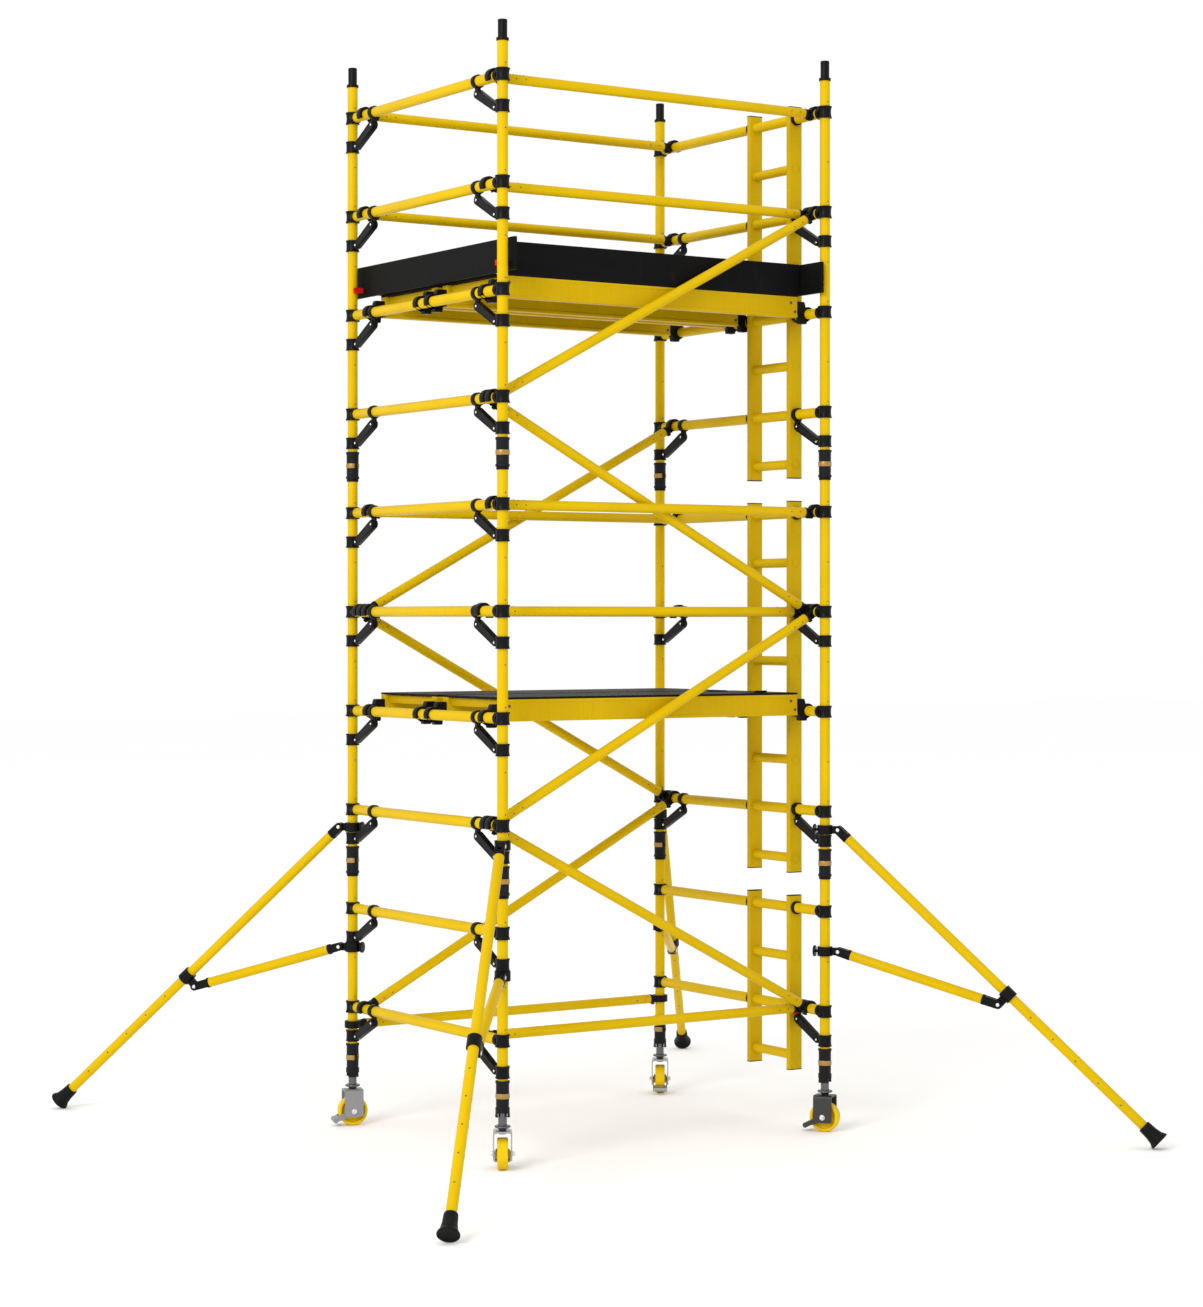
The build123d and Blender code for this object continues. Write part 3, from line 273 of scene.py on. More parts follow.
# %% Node helpers
def add_node(tree, kind, settings=None, **values):
    """Adds a node, sets its properties, and sets input sockets by name, with _ for a space."""
    node = tree.nodes.new(kind)
    for key, value in (settings or {}).items():
        setattr(node, key, value)
    for key, value in values.items():
        socket = node.inputs[key.replace("_", " ")]
        if isinstance(value, bpy.types.NodeSocket):
            tree.links.new(value, socket)
        else:
            socket.default_value = value
    return node


def ramp(tree, source, stops):
    """A colour ramp over a value: stops are (place, grey or colour)."""
    node = add_node(tree, "ShaderNodeValToRGB", Fac=source)
    for index, (at, shade) in enumerate(stops):
        element = node.color_ramp.elements[index] if index < 2 else node.color_ramp.elements.new(at)
        element.position = at
        element.color = (*shade, 1) if isinstance(shade, tuple) else (shade, shade, shade, 1)
    return node.outputs["Color"]


def mixed(tree, factor, first, second, blend="MIX"):
    """A colour mix of two colours or links by a factor."""
    node = tree.nodes.new("ShaderNodeMix")
    node.data_type, node.blend_type = "RGBA", blend
    for socket, value in ((node.inputs[0], factor), (node.inputs[6], first), (node.inputs[7], second)):
        if isinstance(value, bpy.types.NodeSocket):
            tree.links.new(value, socket)
        else:
            socket.default_value = (*value, 1) if isinstance(value, tuple) else value
    return node.outputs[2]


def effect_group(name, outputs):
    """An empty node group with a Point, a Scale and an Amount input, and value outputs."""
    group = bpy.data.node_groups.new(name, "ShaderNodeTree")
    group.interface.new_socket("Point", in_out="INPUT", socket_type="NodeSocketVector")
    for label, start in (("Scale", 10.0), ("Amount", 0.5)):
        group.interface.new_socket(label, in_out="INPUT", socket_type="NodeSocketFloat").default_value = start
    for label in outputs:
        group.interface.new_socket(label, in_out="OUTPUT", socket_type="NodeSocketFloat")
    return group, group.nodes.new("NodeGroupInput").outputs, group.nodes.new("NodeGroupOutput").inputs


# %% Shared effects: scuffs, dust and grain
scuffs, given, result = effect_group("scuffs", ["Mask"])
stretched = add_node(scuffs, "ShaderNodeVectorMath", {"operation": "MULTIPLY"})
scuffs.links.new(given["Point"], stretched.inputs[0])
stretched.inputs[1].default_value = (1.0, 1.0, 0.16)
streaks = add_node(scuffs, "ShaderNodeTexNoise", Vector=stretched.outputs[0], Scale=given["Scale"],
                   Detail=5.0, Roughness=0.62, Distortion=0.4)
patches = add_node(scuffs, "ShaderNodeTexNoise", Vector=given["Point"], Scale=2.3, Detail=2.0)
thin = ramp(scuffs, streaks.outputs["Fac"], [(0.6, 0.0), (0.72, 1.0)])
where = ramp(scuffs, patches.outputs["Fac"], [(0.42, 0.0), (0.62, 1.0)])
both = add_node(scuffs, "ShaderNodeMath", {"operation": "MULTIPLY"})
scuffs.links.new(thin, both.inputs[0])
scuffs.links.new(where, both.inputs[1])
scaled = add_node(scuffs, "ShaderNodeMath", {"operation": "MULTIPLY", "use_clamp": True})
scuffs.links.new(both.outputs[0], scaled.inputs[0])
scuffs.links.new(given["Amount"], scaled.inputs[1])
scuffs.links.new(scaled.outputs[0], result["Mask"])

dust, given, result = effect_group("dust", ["Mask"])
cloud = add_node(dust, "ShaderNodeTexNoise", Vector=given["Point"], Scale=given["Scale"], Detail=6.0,
                 Roughness=0.7)
cloud_mask = ramp(dust, cloud.outputs["Fac"], [(0.45, 0.0), (0.75, 1.0)])
normal_up = add_node(dust, "ShaderNodeNewGeometry")
up = add_node(dust, "ShaderNodeSeparateXYZ", Vector=normal_up.outputs["Normal"])
up_mask = ramp(dust, up.outputs["Z"], [(0.1, 0.25), (0.95, 1.0)])
both = add_node(dust, "ShaderNodeMath", {"operation": "MULTIPLY"})
dust.links.new(cloud_mask, both.inputs[0])
dust.links.new(up_mask, both.inputs[1])
scaled = add_node(dust, "ShaderNodeMath", {"operation": "MULTIPLY", "use_clamp": True})
dust.links.new(both.outputs[0], scaled.inputs[0])
dust.links.new(given["Amount"], scaled.inputs[1])
dust.links.new(scaled.outputs[0], result["Mask"])

grain, given, result = effect_group("moulded_grain", ["Height"])
pits = add_node(grain, "ShaderNodeTexVoronoi", Vector=given["Point"], Scale=given["Scale"])
fine = add_node(grain, "ShaderNodeTexNoise", Vector=given["Point"], Scale=given["Scale"], Detail=3.0)
summed = add_node(grain, "ShaderNodeMath", {"operation": "ADD"})
grain.links.new(pits.outputs["Distance"], summed.inputs[0])
grain.links.new(fine.outputs["Fac"], summed.inputs[1])
scaled = add_node(grain, "ShaderNodeMath", {"operation": "MULTIPLY"})
grain.links.new(summed.outputs[0], scaled.inputs[0])
grain.links.new(given["Amount"], scaled.inputs[1])
grain.links.new(scaled.outputs[0], result["Height"])
print("effects:", [group.name for group in (scuffs, dust, grain)])

# %% Material starter
def start_material(name, point="object"):
    """A new material, its tree, its shader and the vector that its patterns read."""
    material = bpy.data.materials.new(name)
    material.use_nodes = True
    tree = material.node_tree
    shader = tree.nodes["Principled BSDF"]
    if point == "grain":
        vector = add_node(tree, "ShaderNodeAttribute", {"attribute_name": "grain"}).outputs["Vector"]
    else:
        vector = add_node(tree, "ShaderNodeTexCoord").outputs["Object"]
    return material, tree, shader, vector


def effect(tree, group, vector, scale, amount):
    """Places a shared effect with its own scale and amount, and returns its output."""
    node = tree.nodes.new("ShaderNodeGroup")
    node.node_tree = group
    tree.links.new(vector, node.inputs["Point"])
    node.inputs["Scale"].default_value, node.inputs["Amount"].default_value = scale, amount
    return node.outputs[0]


def bump(tree, shader, height, strength, distance=0.001):
    """A bump from a height, into the shader's normal."""
    node = add_node(tree, "ShaderNodeBump", Height=height, Strength=strength, Distance=distance)
    tree.links.new(node.outputs["Normal"], shader.inputs["Normal"])


# %% [markdown]
# ### Yellow glass fibre
#
# The tubes are pultruded: glass strands are drawn through a die with yellow resin, so the surface is
# smooth and has faint lines along the tube. Noise squeezed across the tube and stretched along it gives
# those lines, and a wider noise gives the slight change of depth in the resin.

# %% Yellow glass fibre
def glass_fibre(name, light, dark, roughness=0.34):
    """Two yellows mixed by stretched noise, with greyer scuffs that are also duller."""
    material, tree, shader, vector = start_material(name, "grain")
    along = add_node(tree, "ShaderNodeMapping", Vector=vector, Scale=(150, 150, 3))
    strands = add_node(tree, "ShaderNodeTexNoise", Vector=along.outputs["Vector"], Scale=1.0, Detail=3.0)
    depth = add_node(tree, "ShaderNodeTexNoise", Vector=vector, Scale=4.0, Detail=3.0)
    line_mask = ramp(tree, strands.outputs["Fac"], [(0.3, 0.0), (0.7, 1.0)])
    depth_mask = ramp(tree, depth.outputs["Fac"], [(0.35, 0.0), (0.65, 1.0)])
    fibre = mixed(tree, line_mask, dark, light)
    deeper = mixed(tree, depth_mask, tuple(0.94 * v for v in dark), fibre)
    colour = mixed(tree, 0.55, fibre, deeper)
    scuff = effect(tree, scuffs, vector, 30.0, 0.16)
    tree.links.new(mixed(tree, scuff, colour, tuple(0.8 * v for v in dark)), shader.inputs["Base Color"])
    tree.links.new(mixed(tree, scuff, (roughness,) * 3, (0.6,) * 3), shader.inputs["Roughness"])
    shader.inputs["Specular IOR Level"].default_value = 0.06
    bump(tree, shader, strands.outputs["Fac"], 0.05, 0.0004)
    return material


yellow_tube = glass_fibre("yellow_glass_fibre", (0.69, 0.455, 0.0008), (0.63, 0.41, 0.0008))
yellow_profile = glass_fibre("yellow_glass_fibre_profile", (0.59, 0.385, 0.0008), (0.54, 0.345, 0.0008), 0.42)

# %% [markdown]
# ### Black nylon, rubber and boards
#
# The fittings are moulded nylon: nearly black, with a soft sheen and a fine pitted grain. Rubber is
# duller and a little dustier. The boards have a film face with a raised wire pattern that stops feet
# from slipping, which two crossed waves make.

# %% Moulded plastics
def moulded(name, colour, roughness, grain_amount=0.5, dust_amount=0.2, dust_colour=None, worn=None,
            shine=0.1):
    """One colour with a pitted grain, dust on what faces up, and pale scuffs."""
    material, tree, shader, vector = start_material(name)
    shade = add_node(tree, "ShaderNodeTexNoise", Vector=vector, Scale=14.0, Detail=2.0)
    base = mixed(tree, shade.outputs["Fac"], tuple(0.8 * v for v in colour), tuple(1.2 * v for v in colour))
    dust_colour = dust_colour or tuple(1.5 * v + 0.008 for v in colour)
    dusty = mixed(tree, effect(tree, dust, vector, 22.0, dust_amount), base, dust_colour)
    scuff = effect(tree, scuffs, vector, 60.0, 0.3)
    worn = worn or tuple(2 * v + 0.008 for v in colour)
    shader.inputs["Specular IOR Level"].default_value = shine
    tree.links.new(mixed(tree, scuff, dusty, worn), shader.inputs["Base Color"])
    rough = mixed(tree, shade.outputs["Fac"], (roughness - 0.06,) * 3, (roughness + 0.08,) * 3)
    tree.links.new(rough, shader.inputs["Roughness"])
    bump(tree, shader, effect(tree, grain, vector, 900.0, grain_amount), 0.25, 0.0003)
    return material


black_nylon = moulded("black_nylon", (0.0045, 0.0045, 0.0048), 0.36)
grey_nylon = moulded("charcoal_nylon", (0.010, 0.010, 0.0105), 0.42)
black_rubber = moulded("black_rubber", (0.005, 0.005, 0.005), 0.5, dust_amount=0.3, shine=0.1)
red_nylon = moulded("red_nylon", (0.55, 0.012, 0.008), 0.36, worn=(0.6, 0.1, 0.08))
yellow_tread = moulded("yellow_polyurethane", (0.72, 0.48, 0.002), 0.45, dust_amount=0.3,
                       dust_colour=(0.45, 0.33, 0.03), worn=(0.5, 0.36, 0.02))


def film_board(name, colour):
    """Black film face: two crossed waves make the raised wire pattern, and dust lies in patches."""
    material, tree, shader, vector = start_material(name)
    waves = []
    for direction in ("X", "Y"):
        wave = add_node(tree, "ShaderNodeTexWave", {"bands_direction": direction}, Vector=vector, Scale=70.0)
        waves.append(wave.outputs["Fac"])
    crossed = add_node(tree, "ShaderNodeMath", {"operation": "MAXIMUM"})
    tree.links.new(waves[0], crossed.inputs[0])
    tree.links.new(waves[1], crossed.inputs[1])
    base = mixed(tree, crossed.outputs[0], tuple(0.75 * v for v in colour), tuple(1.3 * v for v in colour))
    dusty = mixed(tree, effect(tree, dust, vector, 5.0, 0.4), base, (0.02, 0.0195, 0.018))
    tree.links.new(dusty, shader.inputs["Base Color"])
    shader.inputs["Specular IOR Level"].default_value = 0.06
    rough = mixed(tree, crossed.outputs[0], (0.42,) * 3, (0.58,) * 3)
    tree.links.new(rough, shader.inputs["Roughness"])
    bump(tree, shader, crossed.outputs[0], 0.3, 0.0006)
    return material


deck_film = film_board("deck_film", (0.0055, 0.0055, 0.0055))


def toe_film(name, colour):
    """Toe board face: near black, faintly streaked along its length, with a few pale knocks."""
    material, tree, shader, vector = start_material(name)
    along = add_node(tree, "ShaderNodeMapping", Vector=vector, Scale=(2, 2, 60))
    streak = add_node(tree, "ShaderNodeTexNoise", Vector=along.outputs["Vector"], Scale=1.0, Detail=4.0)
    darker, lighter = tuple(0.75 * v for v in colour), tuple(1.25 * v for v in colour)
    base = mixed(tree, streak.outputs["Fac"], darker, lighter)
    knock = effect(tree, scuffs, vector, 24.0, 0.3)
    tree.links.new(mixed(tree, knock, base, (0.02, 0.02, 0.019)), shader.inputs["Base Color"])
    shader.inputs["Specular IOR Level"].default_value = 0.045
    rough = mixed(tree, streak.outputs["Fac"], (0.4,) * 3, (0.55,) * 3)
    tree.links.new(rough, shader.inputs["Roughness"])
    bump(tree, shader, streak.outputs["Fac"], 0.1, 0.0005)
    return material


toe_black = toe_film("toe_board_film", (0.005, 0.005, 0.005))

# %% [markdown]
# ### Steel
#
# The castors are zinc-plated steel, which is bright but not mirror-like: the plating is mottled where
# crystals formed. One function makes each steel, with its own colour and dullness.

# %% Metals
def plated(name, colour, roughness, metallic=0.95, mottle=0.12):
    """Steel with a mottled plating: cells of slightly different colour and roughness."""
    material, tree, shader, vector = start_material(name)
    cells = add_node(tree, "ShaderNodeTexVoronoi", Vector=vector, Scale=110.0)
    soft = add_node(tree, "ShaderNodeTexNoise", Vector=vector, Scale=30.0, Detail=4.0)
    spots = mixed(tree, cells.outputs["Distance"], tuple((1 - mottle) * v for v in colour), colour)
    dull = mixed(tree, effect(tree, dust, vector, 40.0, 0.35), spots, tuple(0.45 * v for v in colour))
    tree.links.new(dull, shader.inputs["Base Color"])
    rough = mixed(tree, soft.outputs["Fac"], (roughness - 0.08,) * 3, (roughness + 0.12,) * 3)
    tree.links.new(rough, shader.inputs["Roughness"])
    shader.inputs["Metallic"].default_value = metallic
    bump(tree, shader, soft.outputs["Fac"], 0.08, 0.0005)
    return material


zinc_steel = plated("zinc_steel", (0.42, 0.425, 0.43), 0.32)
bright_steel = plated("bright_rivet", (0.82, 0.82, 0.82), 0.24)
# This dark steel is the rivets' and bolts' own colour, and also the painted shade inside the stabiliser legs'
# holes.
dark_steel_and_hole_shade = plated("dark_rivet_and_hole_shade", (0.10, 0.095, 0.085), 0.45, 0.7)
leg_steel = plated("jack_steel", (0.15, 0.152, 0.155), 0.34)
pale_paint = plated("pale_grey_plate", (0.27, 0.275, 0.285), 0.42, 0.35)
dark_paint = plated("dark_grey_plate", (0.045, 0.045, 0.047), 0.42, 0.5)
bronze_band = plated("bronze_band", (0.40, 0.235, 0.055), 0.4, 0.45)
print("materials:", len(bpy.data.materials))

# %% [markdown]
# ## End frames
#
# Each lift has two end frames, with two posts and a rung every half metre. A frame could be one curve
# object with a bevel, but a turned tube keeps its hollow ends and lets the fibres run the right way.

# %% Frame tubes, stiles and their caps
frame_low = {lift: 1000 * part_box(f"{lift}_plain_frame")[0].z for lift in lifts}
frame_high = {lift: 1000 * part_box(f"{lift}_plain_frame")[1].z for lift in lifts}
rung_length = 2 * (post_y - post_r - 1)
stile_width, stile_thick = 75.0, 30.0
outer_stile_y = -post_y + 257.0
inner_stile_y = outer_stile_y + 339.0
stile_below, stile_above = 320.0, 60.0
short_outer = 24.0
rivet_rises = (52, 250)
rung_tube = tube(rung_length, post_r, 3)
short_tube = tube(inner_stile_y - outer_stile_y + stile_thick, short_outer, 3, 30)
cap_places = []
dot = turned([(3.6, -1), (3.6, 0.3), (2.6, 1.2), (1.0, 1.6)], 10)
dot_places = []


def along_y(x, y, z):
    """A place that lays a shape standing on Z along +Y."""
    return shift(x, y, z) @ turn("x", -90)


for lift, (first, last) in lifts.items():
    low, high = frame_low[lift], frame_high[lift]
    post = tube(high - low, post_r, 3, 44)
    levels = range(first, last + 1)
    for side in (-1, 1):
        x = side * post_x
        posts = [shift(x, y, low) for y in (-post_y, post_y)]
        rungs = [along_y(x, -rung_length / 2, level_height(level)) for level in levels]
        parts = [(post, posts), (rung_tube, rungs)]
        kind = "plain" if side < 0 else "ladder"
        if side > 0:
            shorts = [along_y(x, outer_stile_y - stile_thick / 2, level_height(level) - pitch / 2)
                      for level in levels]
            parts.append((short_tube, shorts))
        build(f"{lift}_{kind}_tubes", parts, yellow_tube,
              replaces=[f"{lift}_{kind}_frame"])
    bottom, top = level_height(first) - stile_below, level_height(last) + stile_above
    wide, deep = stile_width / 2, stile_thick / 2
    profile = [(-wide, -deep), (wide, -deep), (wide, 2 - deep), (wide, deep - 2), (wide, deep), (-wide, deep)]
    stile = slab(rounded(profile, 3, 3, closed=True), soft_rows(top - bottom, 1.0))
    stand = turn("x", 90)
    stiles = [shift(post_x, y, (top + bottom) / 2) @ stand for y in (outer_stile_y, inner_stile_y)]
    build(f"{lift}_ladder_stiles", [(stile, stiles)], yellow_profile)
    cap_places += [shift(post_x, y, z) for y in (outer_stile_y, inner_stile_y)
                   for z in (bottom - 1.5, top + 1.5)]
    for level in levels:
        for side_x, side_y in all_posts:
            for up in rivet_rises:
                if level_height(level) + up < high - 30:
                    spot = shift(side_x * post_x, side_y * post_y, level_height(level) + up)
                    for heading in (-90, 0) if up == rivet_rises[0] else (-90,):
                        dot_places.append(spot @ turn("z", heading) @ shift(post_r, 0, 0) @ turn("y", 90))
cap_line = [(-38.5, -16), (38.5, -16), (38.5, 16), (-38.5, 16)]
cap = slab(rounded(cap_line, 3, 3, closed=True), soft_rows(4.5, 1.2))
build("stile_end_caps", [(cap, [place @ turn("x", 90) for place in cap_places])], black_nylon)
build("post_rivets", [(dot, dot_places)], dark_steel_and_hole_shade)

# %% [markdown]
# ## Sockets and knee braces
#
# A black socket grips the post and takes the end of each rung, and a knee brace under the rung keeps
# the corner square. The socket's waist is hollow, so its profile is a curve between two lips. The knee
# is a forked link between two riveted ears, with a sunk panel in each side as such mouldings have.

# %% Sockets on the posts and rings on the rungs
def waisted(bore, waist, lip, height, lip_height=6.0):
    """Profile of a collar: two rounded lips, and between them a radius that dips as a cosine."""
    half = height / 2
    t = np.linspace(-1, 1, 9)
    span = half - lip_height
    dip = np.stack([waist + (lip - 1.5 - waist) * (1 - np.cos(math.pi * t / 2)) ** 1.5, span * t], 1)
    low_lip = rounded([(bore, -half), (lip, -half), (lip, -span), (dip[0, 0], -span)], 1.6, 3)[:-1]
    high_lip = rounded([(dip[-1, 0], span), (lip, span), (lip, half), (bore, half)], 1.6, 3)[1:]
    return np.concatenate([low_lip, dip, high_lip])


levels_all = range(1, 11)
hold = post_r + 0.1
socket_collar = turned(waisted(hold, 31.0, 35.5, 60), 36, loop=True)
stub_line = [(hold, 20), (29, 20), (29, 36), (30.5, 38), (30.5, 46), (hold, 46)]
socket_stub = turned(rounded(stub_line, 1.2, 2, closed=True), 32, loop=True)
web = slab(rounded([(20, -24), (37, -22), (37, 22), (20, 24)], 3, 3, closed=True), soft_rows(38, 4))
socket_places = [facing(sx, sy, level_height(level)) for level in levels_all for sx, sy in all_posts]
lay = turn("x", -90)
build("rung_sockets_moulded",
      [(socket_collar, socket_places), (socket_stub, [place @ lay for place in socket_places]),
       (web, [place @ turn("z", 90) for place in socket_places])],
      black_nylon, replaces=["rung_sockets"])

knee_sides = [(-1, -1, levels_all), (-1, 1, levels_all), (1, -1, (1, 3, 5, 7, 9)), (1, 1, (3, 5, 7, 9))]
ring_deep = 19.8
ring_profile = rounded([(hold, 0), (33, 0), (33, ring_deep), (hold, ring_deep)], 3, 3, closed=True)
ring_places = []
for level in levels_all:
    if level not in (1, 3, 5, 7, 9):
        ring_places.append(along_y(post_x, outer_stile_y - stile_thick / 2 - 20, level_height(level)))
    ring_places.append(along_y(post_x, inner_stile_y + stile_thick / 2 + 0.2, level_height(level)))
build("stile_rings", [(turned(ring_profile, 32, loop=True), ring_places)], black_nylon)

# %% Knee collars, ears, links and rivets
knee_places = [facing(sx, sy, level_height(level)) for sx, sy, levels in knee_sides for level in levels]
knee_drop, ring_out = 147.0, 226.0
pin_low, pin_high = np.array((53.0, -knee_drop)), np.array((217.0, -61.0))
collar = turned(waisted(hold, 31.5, 34.5, 58), 36, loop=True)
low_ear = slab(np.concatenate([[(24, -19)], arc(53, 0, 19, -90, 90, 8), [(24, 19)]]), soft_rows(14, 1.5))
ring = turned(rounded([(hold, -15), (33, -15), (33, 15), (hold, 15)], 3.5, 3, closed=True), 32, loop=True)
ear_line = [(209, -20), (207, -42), (200, -58), *arc(217, -61, 18, 200, 330, 6), (242, -50), (242, -20)]
high_ear = slab(rounded(ear_line, 2, 1, closed=True), soft_rows(14, 1.5))
lay_out = turn("z", 90)
build("knee_collars_moulded",
      [(collar, [place @ shift(z=-knee_drop) for place in knee_places]),
       (low_ear, [place @ lay_out @ shift(z=-knee_drop) for place in knee_places]),
       (ring, [place @ shift(y=ring_out) @ lay for place in knee_places]),
       (high_ear, [place @ lay_out for place in knee_places])],
      black_nylon, replaces=["knee_collars"])

link_run = pin_high - pin_low
link_tilt = math.degrees(math.atan2(link_run[1], link_run[0]))
link_length = float(np.hypot(*link_run))
link_line = np.concatenate([arc(link_length, 0, 22, -80, 96, 9), arc(0, 0, 18, 90, 270, 8)])
link = slab(link_line, soft_rows(31, 2.0, rim=2.2, sunk=2.0))
pad_line = arc(0, 0, 10.5, 0, 360, 16)[:-1]
pad = slab(pad_line, soft_rows(31.4, 1.2))
along_link = lay_out @ shift(pin_low[0], 0, pin_low[1]) @ turn("y", -link_tilt)
link_frames = [place @ along_link for place in knee_places]
pads = [place @ shift(x=along) for place in link_frames for along in (0, link_length)]
build("knee_links_moulded", [(link, link_frames), (pad, pads)], black_nylon,
      replaces=["knee_links"])
dome = rounded([(6.4, 0), (6.4, 1.2), (4.2, 2.9), (0.8, 3.2)], 1.2, 2)
rivet = turned(np.concatenate([[(6.4, -0.6)], dome]), 16)
rivets = [place @ turn("x", tip) @ shift(z=15.6) for place in pads for tip in (90, -90)]
build("knee_rivets", [(rivet, rivets)], bright_steel, replaces=["frame_rivets"])

# %% [markdown]
# ## Spigots and joint sleeves
#
# A lift plugs into the next by a spigot, and a sleeve strengthens the post's foot over it. A sprung
# bronze clip sits in the sleeve's middle. All of these are turned, with shallow ribs in the profile.

# %% Spigots, sleeves, clips
spigot_line = [(22.2, -100), (22.2, -0.5), (30, 0), (30, 13.5), (26.5, 15), (22.2, 15.5), (22.2, 88),
               (22.8, 89), (22.8, 95), (20.5, 99.4)]
spigot = turned(rounded(spigot_line, 1.0, 2), 36)
spigot_places = [facing(sx, sy, frame_high[lift]) for lift in lifts for sx, sy in all_posts]
build("post_spigots", [(spigot, spigot_places)], black_nylon,
      replaces=["spigots"])

sleeve_height = 137.0
half = sleeve_height / 2
ribs = np.arange(-0.62, -0.05, 0.14)
rib_line = np.concatenate([[(30.2, half * at), (30.9, half * (at + 0.02)), (30.9, half * (at + 0.07)),
                            (30.2, half * (at + 0.09))] for at in ribs])
sleeve_line = np.concatenate([
    rounded([(hold, -half), (34, -half), (34, -half + 11), (30.2, -half + 14)], 1.5, 2), rib_line,
    rounded([(30.9, -4), (30.9, half - 14), (34, half - 11), (34, half), (hold, half)], 1.5, 2)])
sleeve = turned(sleeve_line, 36, loop=True)
sleeve_places = [facing(sx, sy, frame_low[lift] + half) for lift in lifts for sx, sy in all_posts]
build("joint_sleeves_moulded", [(sleeve, sleeve_places)], grey_nylon,
      replaces=["joint_sleeves"])

clip_rise = 66.0
clip_places = [facing(sx, sy, frame_low[lift] + clip_rise) for lift in lifts for sx, sy in all_posts]
band_line = [(31.2, -12), (33.4, -12), (33.9, 0), (33.4, 12), (31.2, 12)]
band = turned(rounded(band_line, 1, 2, closed=True), 36, loop=True)
build("sleeve_bands", [(band, clip_places)], bronze_band,
      replaces=["interlock_clips"])
knob = box_slab(14, 15, 25, 2.5)
build("clip_knobs", [(knob, [place @ shift(y=37.5) for place in clip_places])], grey_nylon)

# %% [markdown]
# ## Braces and their claws
#
# A brace is a tube with a claw plugged into each end, which drops over a rung and locks with a trigger.
# On a sloping brace the claw's hook stays upright and only its neck follows the tube, so the outline is
# worked out for each slope: one arc over the rung, the neck turned by the slope, and the inner arc back.

# %% Brace layout
slots = (80.0, 130.0, 180.0)
# a flat brace: side along Y, rung level, slot
flat_braces = [(-1, 10, 0), (-1, 9, 1), (-1, 6, 0), (-1, 5, 2), (-1, 1, 2),
               (1, 10, 1), (1, 9, 1), (1, 6, 2), (1, 5, 2)]
# a slanted brace: side along Y, level at the plain frame, level at the ladder frame, slot
slanted_braces = [(-1, 7, 9, 0), (-1, 7, 5, 1), (-1, 3, 5, 0), (-1, 3, 1, 1),
                  (1, 5, 7, 1), (1, 5, 3, 0), (1, 1, 3, 1)]
brace_r, brace_start = 24.0, 72.0
low_brace = 512.0


def claw_place(side, y, z):
    """A place on an end rung: +X runs into the tower."""
    return shift(side * post_x, y, z) @ turn("z", 0 if side < 0 else 180)


claws = []
brace_tubes = {"flat": [], "slanted": []}
for side, level, index in flat_braces:
    y, z = side * (post_y - slots[index]), level_height(level)
    claws += [(0.0, claw_place(-1, y, z)), (0.0, claw_place(1, y, z))]
    brace_tubes["flat"].append((2 * post_x, 0.0, shift(-post_x, y, z)))
brace_tubes["flat"].append((2 * post_x, 0.0, shift(-post_x, post_y, low_brace)))
for side, low, high, index in slanted_braces:
    y, climb = side * (post_y - slots[index]), level_height(high) - level_height(low)
    rise = math.degrees(math.atan2(climb, 2 * post_x))
    claws += [(rise, claw_place(-1, y, level_height(low))), (-rise, claw_place(1, y, level_height(high)))]
    brace_tubes["slanted"].append((math.hypot(2 * post_x, climb), rise, shift(-post_x, y, level_height(low))))

# %% Brace tubes with their rivets
brace_dots = []
for kind, runs in brace_tubes.items():
    parts = []
    for span, rise, start in runs:
        way = start @ turn("y", 90 - rise)
        parts.append((tube(span - 2 * brace_start, brace_r, 2.5), [way @ shift(z=brace_start)]))
        for along in (38, 92):
            for at in (brace_start + along, span - brace_start - along):
                for heading in (90, -90, 180):
                    surface = turn("z", heading) @ shift(brace_r, 0, 0) @ turn("y", 90)
                    brace_dots.append(way @ shift(z=at) @ surface)
    node = "horizontal_braces" if kind == "flat" else "diagonal_braces"
    build(f"{kind}_brace_tubes", parts, yellow_tube, replaces=[node])
build("brace_rivets", [(dot, brace_dots)], dark_steel_and_hole_shade)

# %% Claws, necks and triggers
def spun(points, degrees):
    """Points (x, z) turned about the origin: x cos - z sin, x sin + z cos."""
    cosine, sine = math.cos(math.radians(degrees)), math.sin(math.radians(degrees))
    return np.asarray(points, float) @ np.array([[cosine, sine], [-sine, cosine]])


def claw_outline(rise, radius=41.0, mouth=26.2):
    """Outer arc over the rung, the neck turned by rise, the lower lip, the inner arc and a round tip."""
    lip_end = min(-51.0, rise - 30.0)
    return np.concatenate([
        arc(0, 0, radius, 203, rise + 28, 18), spun([(50, 20), (58, 18), (58, -18), (50, -19)], rise),
        arc(0, 0, radius, rise - 28, lip_end, 3), [(mouth, -9)], arc(0, 0, mouth, 0, 180, 18),
        arc(-32, -15.5, 5.8, 0, -150, 5)])


neck_line = [(17, 50), (22.5, 52), (22.5, 60), (24.6, 62), (24.6, 70), (23.6, 72.2), (17, 72.2)]
neck = turned(rounded(neck_line, 1, 2), 32)
trigger_spot = shift(46.5, 0, -25.2)
claw_parts, trigger_places = [], []
for rise in sorted({round(rise, 4) for rise, _ in claws}):
    places = [place for slope, place in claws if round(slope, 4) == rise]
    claw_parts.append((slab(claw_outline(rise), soft_rows(37, 3.5, rim=3.0, sunk=1.4)), places))
    claw_parts.append((neck, [place @ turn("y", 90 - rise) for place in places]))
    trigger_places += [place @ turn("y", -rise) @ trigger_spot for place in places]
clamp_line = np.concatenate([arc(0, 0, 41, 27, 333, 24), [(58, -18), (58, 18)]])
post_clamp = slab(clamp_line, soft_rows(37, 3.5, rim=3.0, sunk=1.4))
post_claws = [shift(side * post_x, post_y, low_brace) @ turn("z", 0 if side < 0 else 180) for side in (-1, 1)]
claw_parts += [(post_clamp, [place @ turn("x", 90) for place in post_claws]),
               (neck, [place @ turn("y", 90) for place in post_claws])]
